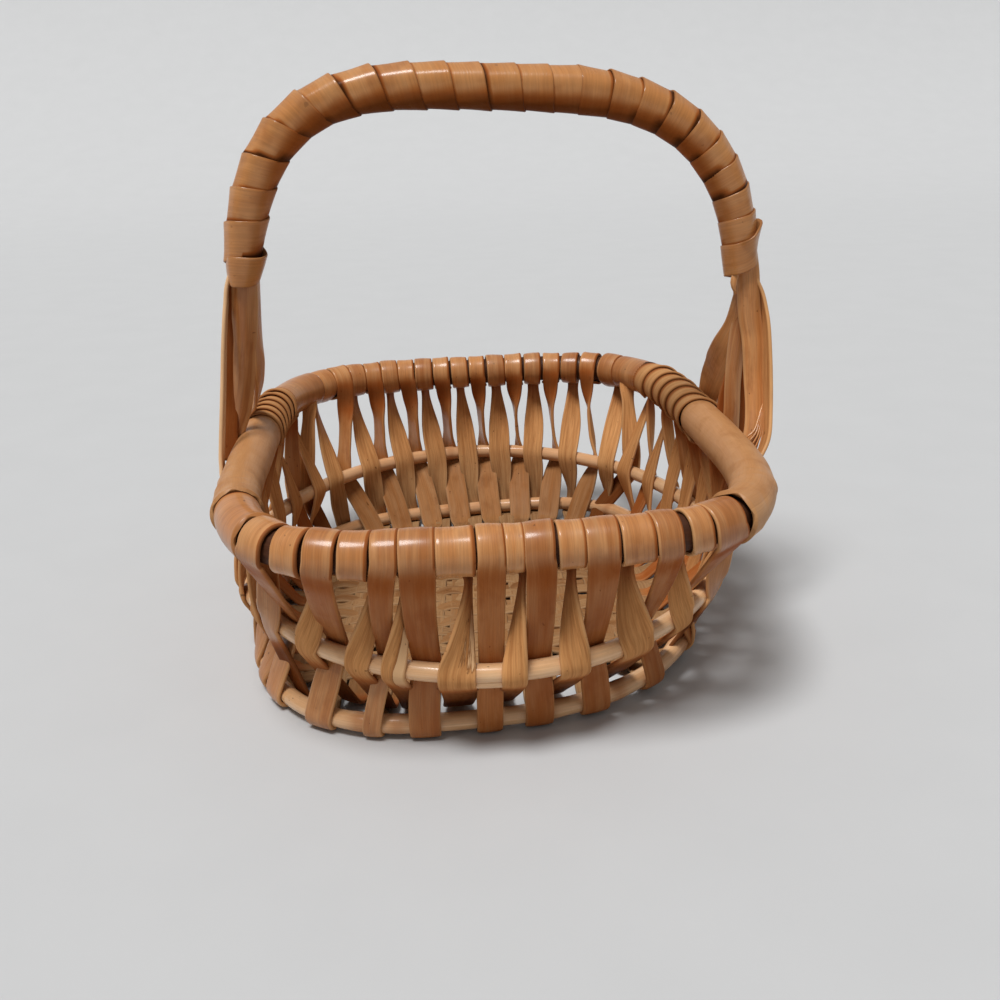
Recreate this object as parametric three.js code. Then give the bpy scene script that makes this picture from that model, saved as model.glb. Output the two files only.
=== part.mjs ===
// Egg basket of peeled willow: a wrapped rim, two thin hoops, flat woven strips and a fixed bound handle.
// Millimetres, +Z up, front towards -Y. The origin is under the middle of the floor, on the table.
import * as THREE from 'three';

// Driving dimensions of the three hoops, measured to the middle of each rod
const RIM_HALF_WIDTH = 50;
const RIM_HALF_DEPTH = 65;
const RIM_RISE = 37;
const RIM_CORE_RADIUS = 3.3;
const RIM_SQUARENESS = 4;
const MIDDLE_RISE = 14;
const FRONT_BULGE = 5;
const SIDE_BULGE = 2.5;
const BASE_HALF_WIDTH = 47;
const BASE_HALF_DEPTH = 55;
const HOOP_RADIUS = 1.75;
const HOOP_SQUARENESS = 2.4;

// Driving dimensions of the flat strips
const STRIP_WIDTH = 3.8;
const STRIP_THICKNESS = 0.7;
const STRIP_GAP = 0.4;
const FLOOR_BEND_RADIUS = 2;
const CORNER_SLOPE = 1.3;

// Driving dimensions of the handle and what ties it to the rim
const HANDLE_HALF_SPAN = 53.5;
const HANDLE_RISE = 72.5;
const HANDLE_SLANT = 3;
const HANDLE_LEAN = 4.5;
const HANDLE_SQUARENESS = 3.6;
const HANDLE_CORE_RADIUS = 3.8;
const HANDLE_BARE_LEG = 32;
const WRAP_LOOPS = 24;
const WRAP_THICKNESS = 0.9;
const WRAP_GAP = 1;
const SPLINT_THICKNESS = 0.8;
const SPLINT_WIDTH = 3.8;
const SPLINT_SPREAD = 14;
const SPLINT_TUCK = 5;
const COVER_LENGTH = 28;
const LASHING_LOOPS = 6;
const LASHING_PITCH = 4.6;
const LASHING_WIDTH = 3.6;

// Clear space between pieces that touch on the real basket
const CLEARANCE = 0.3;

// The angles between which strips bend round each rod, in degrees from straight outward, turning up.
// An outer strip passes outside the rim and the base hoop and inside the middle hoop.
// An inner strip passes inside the rim and the base hoop and outside the middle hoop.
const OUTER_BENDS = { rim: [235, -24], middle: [152, 196], base: [15, -90] };
const INNER_BENDS = { rim: [-58, 188], middle: [10, -36], base: [150, 180], floor: [0, -90] };
const COVER_BEND = [-62, 242];

// Fineness of the round and curved forms
const RIM_SIDES = 10;
const HOOP_SIDES = 8;
const HOOP_STEPS = 56;
const HANDLE_STEPS = 32;
const WRAP_STEPS = 16;
const COVER_STEPS = 8;
const COVER_SIDES = 10;
const HOOK_STEPS = 10;
const HOOP_BEND_STEPS = 2;
const FLOOR_BEND_STEPS = 3;
const SPLINT_STEPS = 4;
const SPINE_SAMPLES = 400;

// Heights that follow from the pieces under them
const BASE_HEIGHT = STRIP_THICKNESS + CLEARANCE + HOOP_RADIUS;
const MIDDLE_HEIGHT = BASE_HEIGHT + MIDDLE_RISE;
const RIM_HEIGHT = BASE_HEIGHT + RIM_RISE;
const FLOOR_LEVEL_STEP = STRIP_THICKNESS + CLEARANCE;
const LOWER_LEVEL = STRIP_THICKNESS / 2;
const CROSS_LEVEL = LOWER_LEVEL + FLOOR_LEVEL_STEP;
const UPPER_LEVEL = CROSS_LEVEL + FLOOR_LEVEL_STEP;

// Radii of the strips where they pass round the rim and the hoops
const RIM_BEND = RIM_CORE_RADIUS + CLEARANCE + STRIP_THICKNESS / 2;
const HOOP_BEND = HOOP_RADIUS + CLEARANCE + STRIP_THICKNESS / 2;
const RIM_FINISHED_RADIUS = RIM_CORE_RADIUS + CLEARANCE + STRIP_THICKNESS;
const UNDER_RIM = RIM_HEIGHT - RIM_FINISHED_RADIUS - CLEARANCE - STRIP_THICKNESS / 2;

// The middle hoop bulges out from the straight line of the wall between the base hoop and the rim
const MIDDLE_SHARE = MIDDLE_RISE / RIM_RISE;
const STRAIGHT_HALF_WIDTH = BASE_HALF_WIDTH + (RIM_HALF_WIDTH - BASE_HALF_WIDTH) * MIDDLE_SHARE;
const STRAIGHT_HALF_DEPTH = BASE_HALF_DEPTH + (RIM_HALF_DEPTH - BASE_HALF_DEPTH) * MIDDLE_SHARE;
const MIDDLE_HALF_WIDTH = STRAIGHT_HALF_WIDTH + SIDE_BULGE;
const MIDDLE_HALF_DEPTH = STRAIGHT_HALF_DEPTH + FRONT_BULGE;

const HOOPS = {
  rim: { width: RIM_HALF_WIDTH, depth: RIM_HALF_DEPTH, squareness: RIM_SQUARENESS, height: RIM_HEIGHT },
  middle: {
    width: MIDDLE_HALF_WIDTH, depth: MIDDLE_HALF_DEPTH, squareness: HOOP_SQUARENESS, height: MIDDLE_HEIGHT,
  },
  base: { width: BASE_HALF_WIDTH, depth: BASE_HALF_DEPTH, squareness: HOOP_SQUARENESS, height: BASE_HEIGHT },
};

const COLOURS = {
  strip: { color: 0xb98552, roughness: 0.45 },
  rod: { color: 0xd9b88a, roughness: 0.4 },
  wrap: { color: 0xb57c4c, roughness: 0.42 },
  core: { color: 0x8d5f38, roughness: 0.6 },
};

const basket = new THREE.Group();

function addPiece(name, geometry, look) {
  const material = new THREE.MeshStandardMaterial({ ...COLOURS[look], metalness: 0 });
  const mesh = new THREE.Mesh(geometry, material);
  mesh.name = name;
  basket.add(mesh);
}

// A closed solid through a row of rings, all with the same number of points
function ringSolid(rings, isLoop) {
  const count = rings[0].length;
  const positions = rings.flat().flatMap((point) => [point.x, point.y, point.z]);
  const triangles = [];
  const spans = isLoop ? rings.length : rings.length - 1;
  for (let ring = 0; ring < spans; ring += 1) {
    const near = ring * count;
    const far = ((ring + 1) % rings.length) * count;
    for (let side = 0; side < count; side += 1) {
      const next = (side + 1) % count;
      triangles.push(near + side, far + side, near + next);
      triangles.push(near + next, far + side, far + next);
    }
  }
  if (!isLoop) {
    // Each end is filled by quads between the first half of its ring and the second half
    const last = (rings.length - 1) * count;
    for (let side = 0; side < count / 2 - 1; side += 1) {
      const across = count - 1 - side;
      triangles.push(side, side + 1, across, side + 1, across - 1, across);
      triangles.push(last + side, last + across, last + side + 1);
      triangles.push(last + side + 1, last + across, last + across - 1);
    }
  }
  return closedGeometry(positions, triangles);
}

// Turns the faces over where needed, so that they all point out
function closedGeometry(positions, triangles) {
  let volume = 0;
  const corner = (index) => new THREE.Vector3().fromArray(positions, index * 3);
  for (let start = 0; start < triangles.length; start += 3) {
    const [a, b, c] = triangles.slice(start, start + 3).map(corner);
    volume += a.dot(b.cross(c));
  }
  if (volume < 0) {
    triangles.reverse();
  }
  const geometry = new THREE.BufferGeometry();
  geometry.setAttribute('position', new THREE.Float32BufferAttribute(positions, 3));
  geometry.setIndex(triangles);
  geometry.computeVertexNormals();
  return geometry;
}

function signedPower(value, power) {
  return Math.sign(value) * Math.abs(value) ** power;
}

// A flat curve measured by its length, with points round it given by distance, angle and radius.
// Angle 0 points away from the middle of the curve and a quarter turn points along its plane's normal.
class Spine {
  constructor(points, planeNormal, isLoop) {
    this.points = isLoop ? [...points, points[0]] : points;
    this.planeNormal = planeNormal;
    this.lengths = [0];
    for (let index = 1; index < this.points.length; index += 1) {
      this.lengths.push(this.lengths[index - 1] + this.points[index].distanceTo(this.points[index - 1]));
    }
    this.length = this.lengths[this.lengths.length - 1];
    this.isLoop = isLoop;
  }

  middleAt(distance) {
    const wanted = this.isLoop ? ((distance % this.length) + this.length) % this.length : distance;
    let index = this.lengths.findIndex((length) => length >= wanted);
    index = index < 0 ? this.lengths.length - 1 : Math.max(index, 1);
    const span = this.lengths[index] - this.lengths[index - 1];
    return this.points[index - 1].clone().lerp(this.points[index], (wanted - this.lengths[index - 1]) / span);
  }

  around(distance, angle, radius) {
    const step = this.length / SPINE_SAMPLES;
    const forward = this.middleAt(distance + step).sub(this.middleAt(distance - step)).normalize();
    const outward = forward.cross(this.planeNormal).normalize();
    const point = this.middleAt(distance);
    point.addScaledVector(outward, radius * Math.cos(angle));
    return point.addScaledVector(this.planeNormal, radius * Math.sin(angle));
  }

  roundSolid(radius, sides, steps) {
    const rings = [];
    const count = this.isLoop ? steps : steps + 1;
    for (let step = 0; step < count; step += 1) {
      // Samples lie closer together where the curve turns, so the rings do too
      const distance = this.lengths[Math.round(SPINE_SAMPLES * step / steps)];
      const ring = [];
      for (let side = 0; side < sides; side += 1) {
        ring.push(this.around(distance, 2 * Math.PI * side / sides, radius));
      }
      rings.push(ring);
    }
    return ringSolid(rings, this.isLoop);
  }
}

// The three hoops in plan, counter-clockwise from +X
function hoopSpine({ width, depth, squareness, height }) {
  const points = [];
  for (let sample = 0; sample < SPINE_SAMPLES; sample += 1) {
    const turn = 2 * Math.PI * sample / SPINE_SAMPLES;
    const x = width * signedPower(Math.cos(turn), 2 / squareness);
    const y = depth * signedPower(Math.sin(turn), 2 / squareness);
    points.push(new THREE.Vector3(x, y, height));
  }
  return new Spine(points, new THREE.Vector3(0, 0, 1), true);
}

const rimSpine = hoopSpine(HOOPS.rim);
addPiece('rim_core', rimSpine.roundSolid(RIM_CORE_RADIUS, RIM_SIDES, HOOP_STEPS), 'core');
addPiece('middle_hoop', hoopSpine(HOOPS.middle).roundSolid(HOOP_RADIUS, HOOP_SIDES, HOOP_STEPS), 'rod');
addPiece('base_hoop', hoopSpine(HOOPS.base).roundSolid(HOOP_RADIUS, HOOP_SIDES, HOOP_STEPS), 'rod');

// Where a hoop crosses a line that runs outward at a distance from the middle, and how slanted it is there
function crossing(hoop, aside, runsLengthwise) {
  const reach = runsLengthwise ? hoop.depth : hoop.width;
  const half = runsLengthwise ? hoop.width : hoop.depth;
  const share = Math.abs(aside) / half;
  const rest = 1 - share ** hoop.squareness;
  const slope = (reach / half) * share ** (hoop.squareness - 1) * rest ** (1 / hoop.squareness - 1);
  return { out: reach * rest ** (1 / hoop.squareness), stretch: Math.hypot(1, slope), height: hoop.height };
}

// Points of a strip's middle line round one hoop, from one angle to another
function bendRound({ out, stretch, height }, radius, [fromDegrees, toDegrees], steps) {
  const bend = [];
  for (let step = 0; step <= steps; step += 1) {
    const angle = THREE.MathUtils.degToRad(fromDegrees + (toDegrees - fromDegrees) * step / steps);
    bend.push({ out: out + radius * stretch * Math.cos(angle), up: height + radius * Math.sin(angle) });
  }
  return bend;
}

// How far strips fan out from the floor to the rim
const WIDTH_FAN = RIM_HALF_WIDTH / BASE_HALF_WIDTH;
const DEPTH_FAN = RIM_HALF_DEPTH / BASE_HALF_DEPTH;

// One edge of a strip from its end at the rim down to the floor
function wallEdge({ aside, isOuter, isHooked, runsLengthwise, floorLevel }) {
  const fan = runsLengthwise ? WIDTH_FAN : DEPTH_FAN;
  const spreadAt = (height) => 1 + (fan - 1) * THREE.MathUtils.clamp(
    (height - BASE_HEIGHT) / (RIM_RISE - RIM_FINISHED_RADIUS), 0, 1);
  const rim = crossing(HOOPS.rim, aside * fan, runsLengthwise);
  const middle = crossing(HOOPS.middle, aside * spreadAt(MIDDLE_HEIGHT), runsLengthwise);
  const base = crossing(HOOPS.base, aside, runsLengthwise);
  const bends = isOuter ? OUTER_BENDS : INNER_BENDS;
  const edge = isHooked
    ? bendRound(rim, RIM_BEND, bends.rim, HOOK_STEPS)
    : [{ out: rim.out + (isOuter ? RIM_BEND : -RIM_BEND) / 2, up: UNDER_RIM }];
  edge.push(...bendRound(middle, HOOP_BEND, bends.middle, HOOP_BEND_STEPS));
  if (isOuter) {
    edge.push(...bendRound(base, HOOP_BEND, bends.base, FLOOR_BEND_STEPS));
  } else {
    const turn = {
      out: base.out - HOOP_BEND * base.stretch - FLOOR_BEND_RADIUS,
      stretch: 1,
      height: floorLevel + FLOOR_BEND_RADIUS,
    };
    edge.push(...bendRound(turn, FLOOR_BEND_RADIUS, bends.floor, FLOOR_BEND_STEPS));
  }
  return edge.map(({ out, up }) => ({ aside: aside * spreadAt(up), out, up }));
}

// Offsets a strip edge to both faces, square to its run
function facesOf(edge) {
  return edge.map((point, index) => {
    const before = edge[Math.max(index - 1, 0)];
    const after = edge[Math.min(index + 1, edge.length - 1)];
    const run = Math.hypot(after.out - before.out, after.up - before.up);
    const acrossOut = (after.up - before.up) / run * STRIP_THICKNESS / 2;
    const acrossUp = -(after.out - before.out) / run * STRIP_THICKNESS / 2;
    return [
      { aside: point.aside, out: point.out + acrossOut, up: point.up + acrossUp },
      { aside: point.aside, out: point.out - acrossOut, up: point.up - acrossUp },
    ];
  });
}

function place({ aside, out, up }, runsLengthwise) {
  return runsLengthwise ? new THREE.Vector3(aside, out, up) : new THREE.Vector3(out, aside, up);
}

// A flat strip from one side of the rim, down the wall, across the floor and up the other wall
function crossingStrip({ aside, isOuter, isHooked, runsLengthwise, floorLevel }) {
  const crossLevel = runsLengthwise ? floorLevel : CROSS_LEVEL;
  const halves = [-1, 1].map((side) => {
    const edgeAside = aside + side * STRIP_WIDTH / 2;
    const edge = wallEdge({ aside: edgeAside, isOuter, isHooked, runsLengthwise, floorLevel });
    if (crossLevel !== floorLevel) {
      // A strip that dips under the base hoop climbs back over the lengthwise strips beside it
      edge.push({ aside: edgeAside, out: dipEnd(edge[edge.length - 1].out), up: crossLevel });
    }
    const otherWall = edge.map((point) => ({ ...point, out: -point.out })).reverse();
    return facesOf([...edge, ...otherWall]);
  });
  const rings = halves[0].map((left, index) => {
    const right = halves[1][index];
    return [left[0], right[0], right[1], left[1]].map((point) => place(point, runsLengthwise));
  });
  return ringSolid(rings, false);
}

// How far along its side the base hoop runs before it slopes as steeply as at the corner
function cornerReach(half, reach, slope) {
  const turned = (slope * half / reach) ** (HOOP_SQUARENESS / (HOOP_SQUARENESS - 1));
  return half * (turned / (1 + turned)) ** (1 / HOOP_SQUARENESS);
}

// As many strips as fit each side of the middle one, spread evenly up to the corner
function spreadStrips(room) {
  const eachSide = Math.floor(room / (STRIP_WIDTH + STRIP_GAP));
  return { eachSide, pitch: room / eachSide, edge: room + STRIP_WIDTH / 2 };
}

// The corner strip stands beside the last crosswise strip and takes its width from the side wall
const STRIP_EDGE = (STRIP_WIDTH + STRIP_GAP) / 2;
const LENGTHWISE = spreadStrips(cornerReach(BASE_HALF_WIDTH, BASE_HALF_DEPTH, CORNER_SLOPE) - STRIP_EDGE);
const CROSSWISE = spreadStrips(
  cornerReach(BASE_HALF_DEPTH, BASE_HALF_WIDTH, 1 / CORNER_SLOPE) - STRIP_EDGE - STRIP_WIDTH);

function dipEnd(hoopOut) {
  return Math.min(hoopOut - STRIP_THICKNESS, LENGTHWISE.edge + CLEARANCE + STRIP_THICKNESS);
}

// The handle's bound stretch of the rim: cover in front of the leg, lashing behind it
const LEG_HALF_WIDTH = HANDLE_CORE_RADIUS + CLEARANCE;
const SIDE_BOUND = Math.max(COVER_LENGTH, LASHING_LOOPS * LASHING_PITCH) + LEG_HALF_WIDTH + LASHING_WIDTH;

function addStrips(family, { eachSide, pitch }, runsLengthwise) {
  for (let index = -eachSide; index <= eachSide; index += 1) {
    const aside = index * pitch;
    const isOuter = (eachSide - index) % 2 === 0;
    const atRim = Math.abs(aside) * DEPTH_FAN - STRIP_WIDTH * DEPTH_FAN / 2;
    const isHooked = runsLengthwise || atRim > SIDE_BOUND;
    let floorLevel = CROSS_LEVEL;
    if (isOuter) {
      floorLevel = LOWER_LEVEL;
    } else if (runsLengthwise) {
      floorLevel = UPPER_LEVEL;
    }
    const strip = crossingStrip({ aside, isOuter, isHooked, runsLengthwise, floorLevel });
    const number = String(index + eachSide + 1).padStart(2, '0');
    addPiece(`${family}_strip_${number}`, strip, 'strip');
  }
}

addStrips('lengthwise', LENGTHWISE, true);
addStrips('crosswise', CROSSWISE, false);

// The middle of a hoop's corner, between the outermost lengthwise and crosswise strips, with its outward way
function cornerOf(hoop, fanShare) {
  const widest = (LENGTHWISE.edge * (1 + (WIDTH_FAN - 1) * fanShare)) / hoop.width;
  const deepest = (CROSSWISE.edge * (1 + (DEPTH_FAN - 1) * fanShare)) / hoop.depth;
  const fromSide = Math.acos(widest ** (hoop.squareness / 2));
  const fromFront = Math.asin(deepest ** (hoop.squareness / 2));
  const turn = (fromSide + fromFront) / 2;
  const x = Math.cos(turn) ** (2 / hoop.squareness);
  const y = Math.sin(turn) ** (2 / hoop.squareness);
  const outward = new THREE.Vector3(
    x ** (hoop.squareness - 1) / hoop.width, y ** (hoop.squareness - 1) / hoop.depth, 0).normalize();
  return { middle: new THREE.Vector3(x * hoop.width, y * hoop.depth, hoop.height), outward };
}

// A short inner strip that fills a corner of the wall from under the rim to the base hoop
function cornerStrip() {
  const middleShare = MIDDLE_RISE / (RIM_RISE - RIM_FINISHED_RADIUS);
  const station = ({ middle, outward }, out, height) => ({
    middle: middle.clone().setZ(height).addScaledVector(outward, out), outward,
  });
  const rimCorner = cornerOf(HOOPS.rim, 1);
  const stations = [station(rimCorner, -RIM_BEND / 2, UNDER_RIM)];
  const bends = [
    { corner: cornerOf(HOOPS.middle, middleShare), angles: INNER_BENDS.middle, height: MIDDLE_HEIGHT },
    { corner: cornerOf(HOOPS.base, 0), angles: INNER_BENDS.base, height: BASE_HEIGHT },
  ];
  for (const { corner, angles, height } of bends) {
    const bend = bendRound({ out: 0, stretch: 1, height }, HOOP_BEND, angles, HOOP_BEND_STEPS);
    stations.push(...bend.map(({ out, up }) => station(corner, out, up)));
  }
  return ribbon(stations, STRIP_WIDTH, STRIP_THICKNESS);
}

// A flat ribbon through stations, lying along each station's horizontal way across its outward way
function ribbon(stations, width, thickness) {
  const up = new THREE.Vector3(0, 0, 1);
  const rings = stations.map(({ middle, outward }, index) => {
    const before = stations[Math.max(index - 1, 0)].middle;
    const after = stations[Math.min(index + 1, stations.length - 1)].middle;
    const across = up.clone().cross(outward).normalize();
    const face = after.clone().sub(before).cross(across).normalize();
    const corner = (side, depth) => middle.clone()
      .addScaledVector(across, side * width / 2)
      .addScaledVector(face, depth * thickness / 2);
    return [corner(-1, 1), corner(1, 1), corner(1, -1), corner(-1, -1)];
  });
  return ringSolid(rings, false);
}

// The same solid on the other side of the basket
function mirrored(geometry, xSign, ySign) {
  const copy = geometry.clone();
  copy.scale(xSign, ySign, 1);
  return closedGeometry([...copy.attributes.position.array], [...copy.index.array]);
}

const cornerShape = cornerStrip();
for (const [side, xSign] of [['left', -1], ['right', 1]]) {
  addPiece(`front_${side}_corner_strip`, mirrored(cornerShape, xSign, -1), 'strip');
  addPiece(`back_${side}_corner_strip`, mirrored(cornerShape, xSign, 1), 'strip');
}

// The handle: a slanted arch standing on the rim core at both sides, wider and leaning to the right above it
const HANDLE_FOOT = RIM_HEIGHT + RIM_CORE_RADIUS + CLEARANCE;

function handleSpine() {
  const points = [];
  for (let sample = 0; sample <= SPINE_SAMPLES; sample += 1) {
    const turn = Math.PI * (1 - sample / SPINE_SAMPLES);
    const side = signedPower(Math.cos(turn), 2 / HANDLE_SQUARENESS);
    const rise = signedPower(Math.sin(turn), 2 / HANDLE_SQUARENESS);
    const height = HANDLE_FOOT + (RIM_HEIGHT + HANDLE_RISE - HANDLE_FOOT) * rise;
    const opened = 1 - (1 - rise) ** 2;
    const halfSpan = RIM_HALF_WIDTH + (HANDLE_HALF_SPAN - RIM_HALF_WIDTH) * opened;
    const x = halfSpan * side + HANDLE_LEAN * opened;
    points.push(new THREE.Vector3(x, 0, height - HANDLE_SLANT * side * rise));
  }
  return new Spine(points, new THREE.Vector3(0, 1, 0), false);
}

const archSpine = handleSpine();
addPiece('handle_core', archSpine.roundSolid(HANDLE_CORE_RADIUS, RIM_SIDES, HANDLE_STEPS), 'core');

// A flat strip wound round a spine in one unbroken helix; says how near its loops come to each other
function winding(name, spine, { start, pitch, width, loops, radius, thickness }) {
  const rings = [];
  for (let step = 0; step <= loops * WRAP_STEPS; step += 1) {
    const angle = 2 * Math.PI * step / WRAP_STEPS;
    const middle = start + pitch * step / WRAP_STEPS;
    const corner = (side, distance) => spine.around(middle + side * width / 2, angle, distance);
    const outer = radius + thickness;
    rings.push([corner(-1, outer), corner(1, outer), corner(1, radius), corner(-1, radius)]);
  }
  let leastGap = Infinity;
  rings.forEach((ring, index) => {
    for (const other of rings.slice(index + WRAP_STEPS / 2)) {
      for (const point of ring) {
        leastGap = Math.min(leastGap, ...other.map((corner) => corner.distanceTo(point)));
      }
    }
  });
  console.log(`${name}: ${loops} loops, least gap to itself ${leastGap.toFixed(2)} mm`);
  addPiece(name, ringSolid(rings, false), 'wrap');
}

const BARE_LENGTH = HANDLE_BARE_LEG - RIM_CORE_RADIUS - CLEARANCE;
const WRAP_PITCH = (archSpine.length - 2 * BARE_LENGTH + WRAP_GAP) / (WRAP_LOOPS + 1);
winding('handle_wrap', archSpine, {
  start: BARE_LENGTH + (WRAP_PITCH - WRAP_GAP) / 2,
  pitch: WRAP_PITCH,
  width: WRAP_PITCH - WRAP_GAP,
  loops: WRAP_LOOPS,
  radius: HANDLE_CORE_RADIUS + CLEARANCE,
  thickness: WRAP_THICKNESS,
});

// Behind each leg the rim is lashed; the rim spine passes the right leg at 0 and the left leg half way round
const LASHING_START = LEG_HALF_WIDTH + LASHING_WIDTH / 2;
for (const [side, leg, way] of [['left', rimSpine.length / 2, -1], ['right', 0, 1]]) {
  winding(`${side}_rim_lashing`, rimSpine, {
    start: leg + way * LASHING_START,
    pitch: way * LASHING_PITCH,
    width: LASHING_WIDTH,
    loops: LASHING_LOOPS,
    radius: RIM_CORE_RADIUS + CLEARANCE,
    thickness: STRIP_THICKNESS,
  });
}

// In front of each leg a smooth strip is laid along the rim and closes nearly round it
function rimCover(leg, way) {
  const [from, to] = COVER_BEND.map(THREE.MathUtils.degToRad);
  const rings = [];
  for (let step = 0; step <= COVER_STEPS; step += 1) {
    const distance = leg - way * (LEG_HALF_WIDTH + COVER_LENGTH * step / COVER_STEPS);
    const outer = [];
    const inner = [];
    for (let side = 0; side <= COVER_SIDES; side += 1) {
      const angle = from + (to - from) * side / COVER_SIDES;
      outer.push(rimSpine.around(distance, angle, RIM_FINISHED_RADIUS));
      inner.unshift(rimSpine.around(distance, angle, RIM_CORE_RADIUS + CLEARANCE));
    }
    rings.push([...outer, ...inner]);
  }
  return ringSolid(rings, false);
}

addPiece('left_rim_cover', rimCover(rimSpine.length / 2, -1), 'wrap');
addPiece('right_rim_cover', rimCover(0, 1), 'wrap');

// Two flat splints fork down from under the handle wrap and pass outside the rim, one forward and one back.
// Each follows the outside of its leg down to the rim.
function splint(xSign, spread, tuck) {
  const outward = new THREE.Vector3(xSign, 0, 0);
  const offset = CLEARANCE + SPLINT_THICKNESS / 2;
  const besideLeg = HANDLE_CORE_RADIUS + offset;
  const besideRim = RIM_FINISHED_RADIUS + offset;
  const topAside = Math.sign(spread) * (SPLINT_WIDTH + CLEARANCE) / 2;
  const stations = [];
  for (let step = 0; step <= SPLINT_STEPS; step += 1) {
    const share = step / SPLINT_STEPS;
    const fromFoot = (BARE_LENGTH - CLEARANCE) * (1 - share);
    const distance = xSign < 0 ? fromFoot : archSpine.length - fromFoot;
    const middle = archSpine.around(distance, 0, THREE.MathUtils.lerp(besideLeg, besideRim, share));
    middle.y = THREE.MathUtils.lerp(topAside, spread, share);
    stations.push({ middle, outward });
  }
  const rimOut = crossing(HOOPS.rim, spread, false).out + besideRim;
  stations.push({ middle: new THREE.Vector3(xSign * rimOut, spread, RIM_HEIGHT - tuck), outward });
  return ribbon(stations, SPLINT_WIDTH, SPLINT_THICKNESS);
}

for (const [side, xSign] of [['left', -1], ['right', 1]]) {
  addPiece(`${side}_front_splint`, splint(xSign, -SPLINT_SPREAD, SPLINT_TUCK), 'strip');
  addPiece(`${side}_back_splint`, splint(xSign, SPLINT_SPREAD - SPLINT_WIDTH, 0), 'strip');
}

export default basket;
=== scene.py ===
"""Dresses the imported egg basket: woven willow strips, wrapped rim and bound handle, with stage and camera.

Lengths are millimetres until a mesh is made, then metres.
The front is towards -Y, and the floor lies on Z = 0.
"""
import math

import bpy
import numpy as np
from mathutils import Matrix


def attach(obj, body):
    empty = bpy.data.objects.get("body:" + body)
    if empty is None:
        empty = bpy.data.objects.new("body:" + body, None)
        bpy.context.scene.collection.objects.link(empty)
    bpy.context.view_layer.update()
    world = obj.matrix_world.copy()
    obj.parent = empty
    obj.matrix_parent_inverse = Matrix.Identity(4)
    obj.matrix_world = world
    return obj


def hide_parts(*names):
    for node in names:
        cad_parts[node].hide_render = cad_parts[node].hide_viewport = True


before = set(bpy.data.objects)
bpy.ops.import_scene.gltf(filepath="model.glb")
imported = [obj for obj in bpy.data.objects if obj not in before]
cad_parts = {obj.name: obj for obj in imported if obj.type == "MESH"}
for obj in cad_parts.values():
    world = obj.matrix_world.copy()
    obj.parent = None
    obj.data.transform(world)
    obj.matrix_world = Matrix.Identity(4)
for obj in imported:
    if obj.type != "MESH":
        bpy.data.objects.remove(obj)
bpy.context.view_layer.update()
rng = np.random.default_rng(11)

MILLIMETRE = 0.001
UP = np.array([0.0, 0.0, 1.0])
FORWARD = np.array([0.0, -1.0, 0.0])
# Points of a line that lie closer than this are one point
SAME_POINT = 1e-6
# Keeps a level direction where a rod stands upright
NUDGE = 1e-6
# Steps between two chosen points of a curve
CURVE_STEPS = 24
# Steps along a finished strip, and along the lines that strips follow
STRIP_STEP = 0.8
FINE_STEP = 0.5
# The grain of a piece begins anywhere within this length, and is as fine as on a strip of this half width
GRAIN_LENGTH = 400
GRAIN_HALF_WIDTH = 2.4

# Sizes shared with the solids
STRIP_THICKNESS = 0.8
STRIP_CLEARANCE = 0.08
LENGTHWISE_EACH_SIDE = 8
LENGTHWISE_PITCH = 4.30
CROSSWISE_EACH_SIDE = 8
CROSSWISE_PITCH = 4.21
RIM_WRAP_RADIUS = 3.9
HANDLE_HALF_SPAN = 53.5
HANDLE_RISE = 72.5
HANDLE_SLANT = 3.0
HANDLE_LEAN = 4.5
HANDLE_SQUARENESS = 3.6
HANDLE_BULGE = 1.8


def unit(vectors):
    return vectors / np.linalg.norm(vectors, axis=-1, keepdims=True)


def signed_power(value, power):
    return np.sign(value) * np.abs(value) ** power


def turned_towards(angle, first, second):
    """The first direction, turned by an angle towards the second."""
    return np.cos(angle)[..., None] * first + np.sin(angle)[..., None] * second


def column(values, count):
    """Values as a column with one row for each; a single value is repeated."""
    return np.broadcast_to(np.asarray(values, dtype=float), (count,))[:, None]


def interpolated(wanted, places, rows):
    """Rows given at some places, read off at the wanted ones."""
    rows = np.asarray(rows, dtype=float)
    columns = [np.interp(wanted, places, values) for values in rows.reshape(len(rows), -1).T]
    return np.stack(columns, axis=-1).reshape((len(wanted),) + rows.shape[1:])


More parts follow.
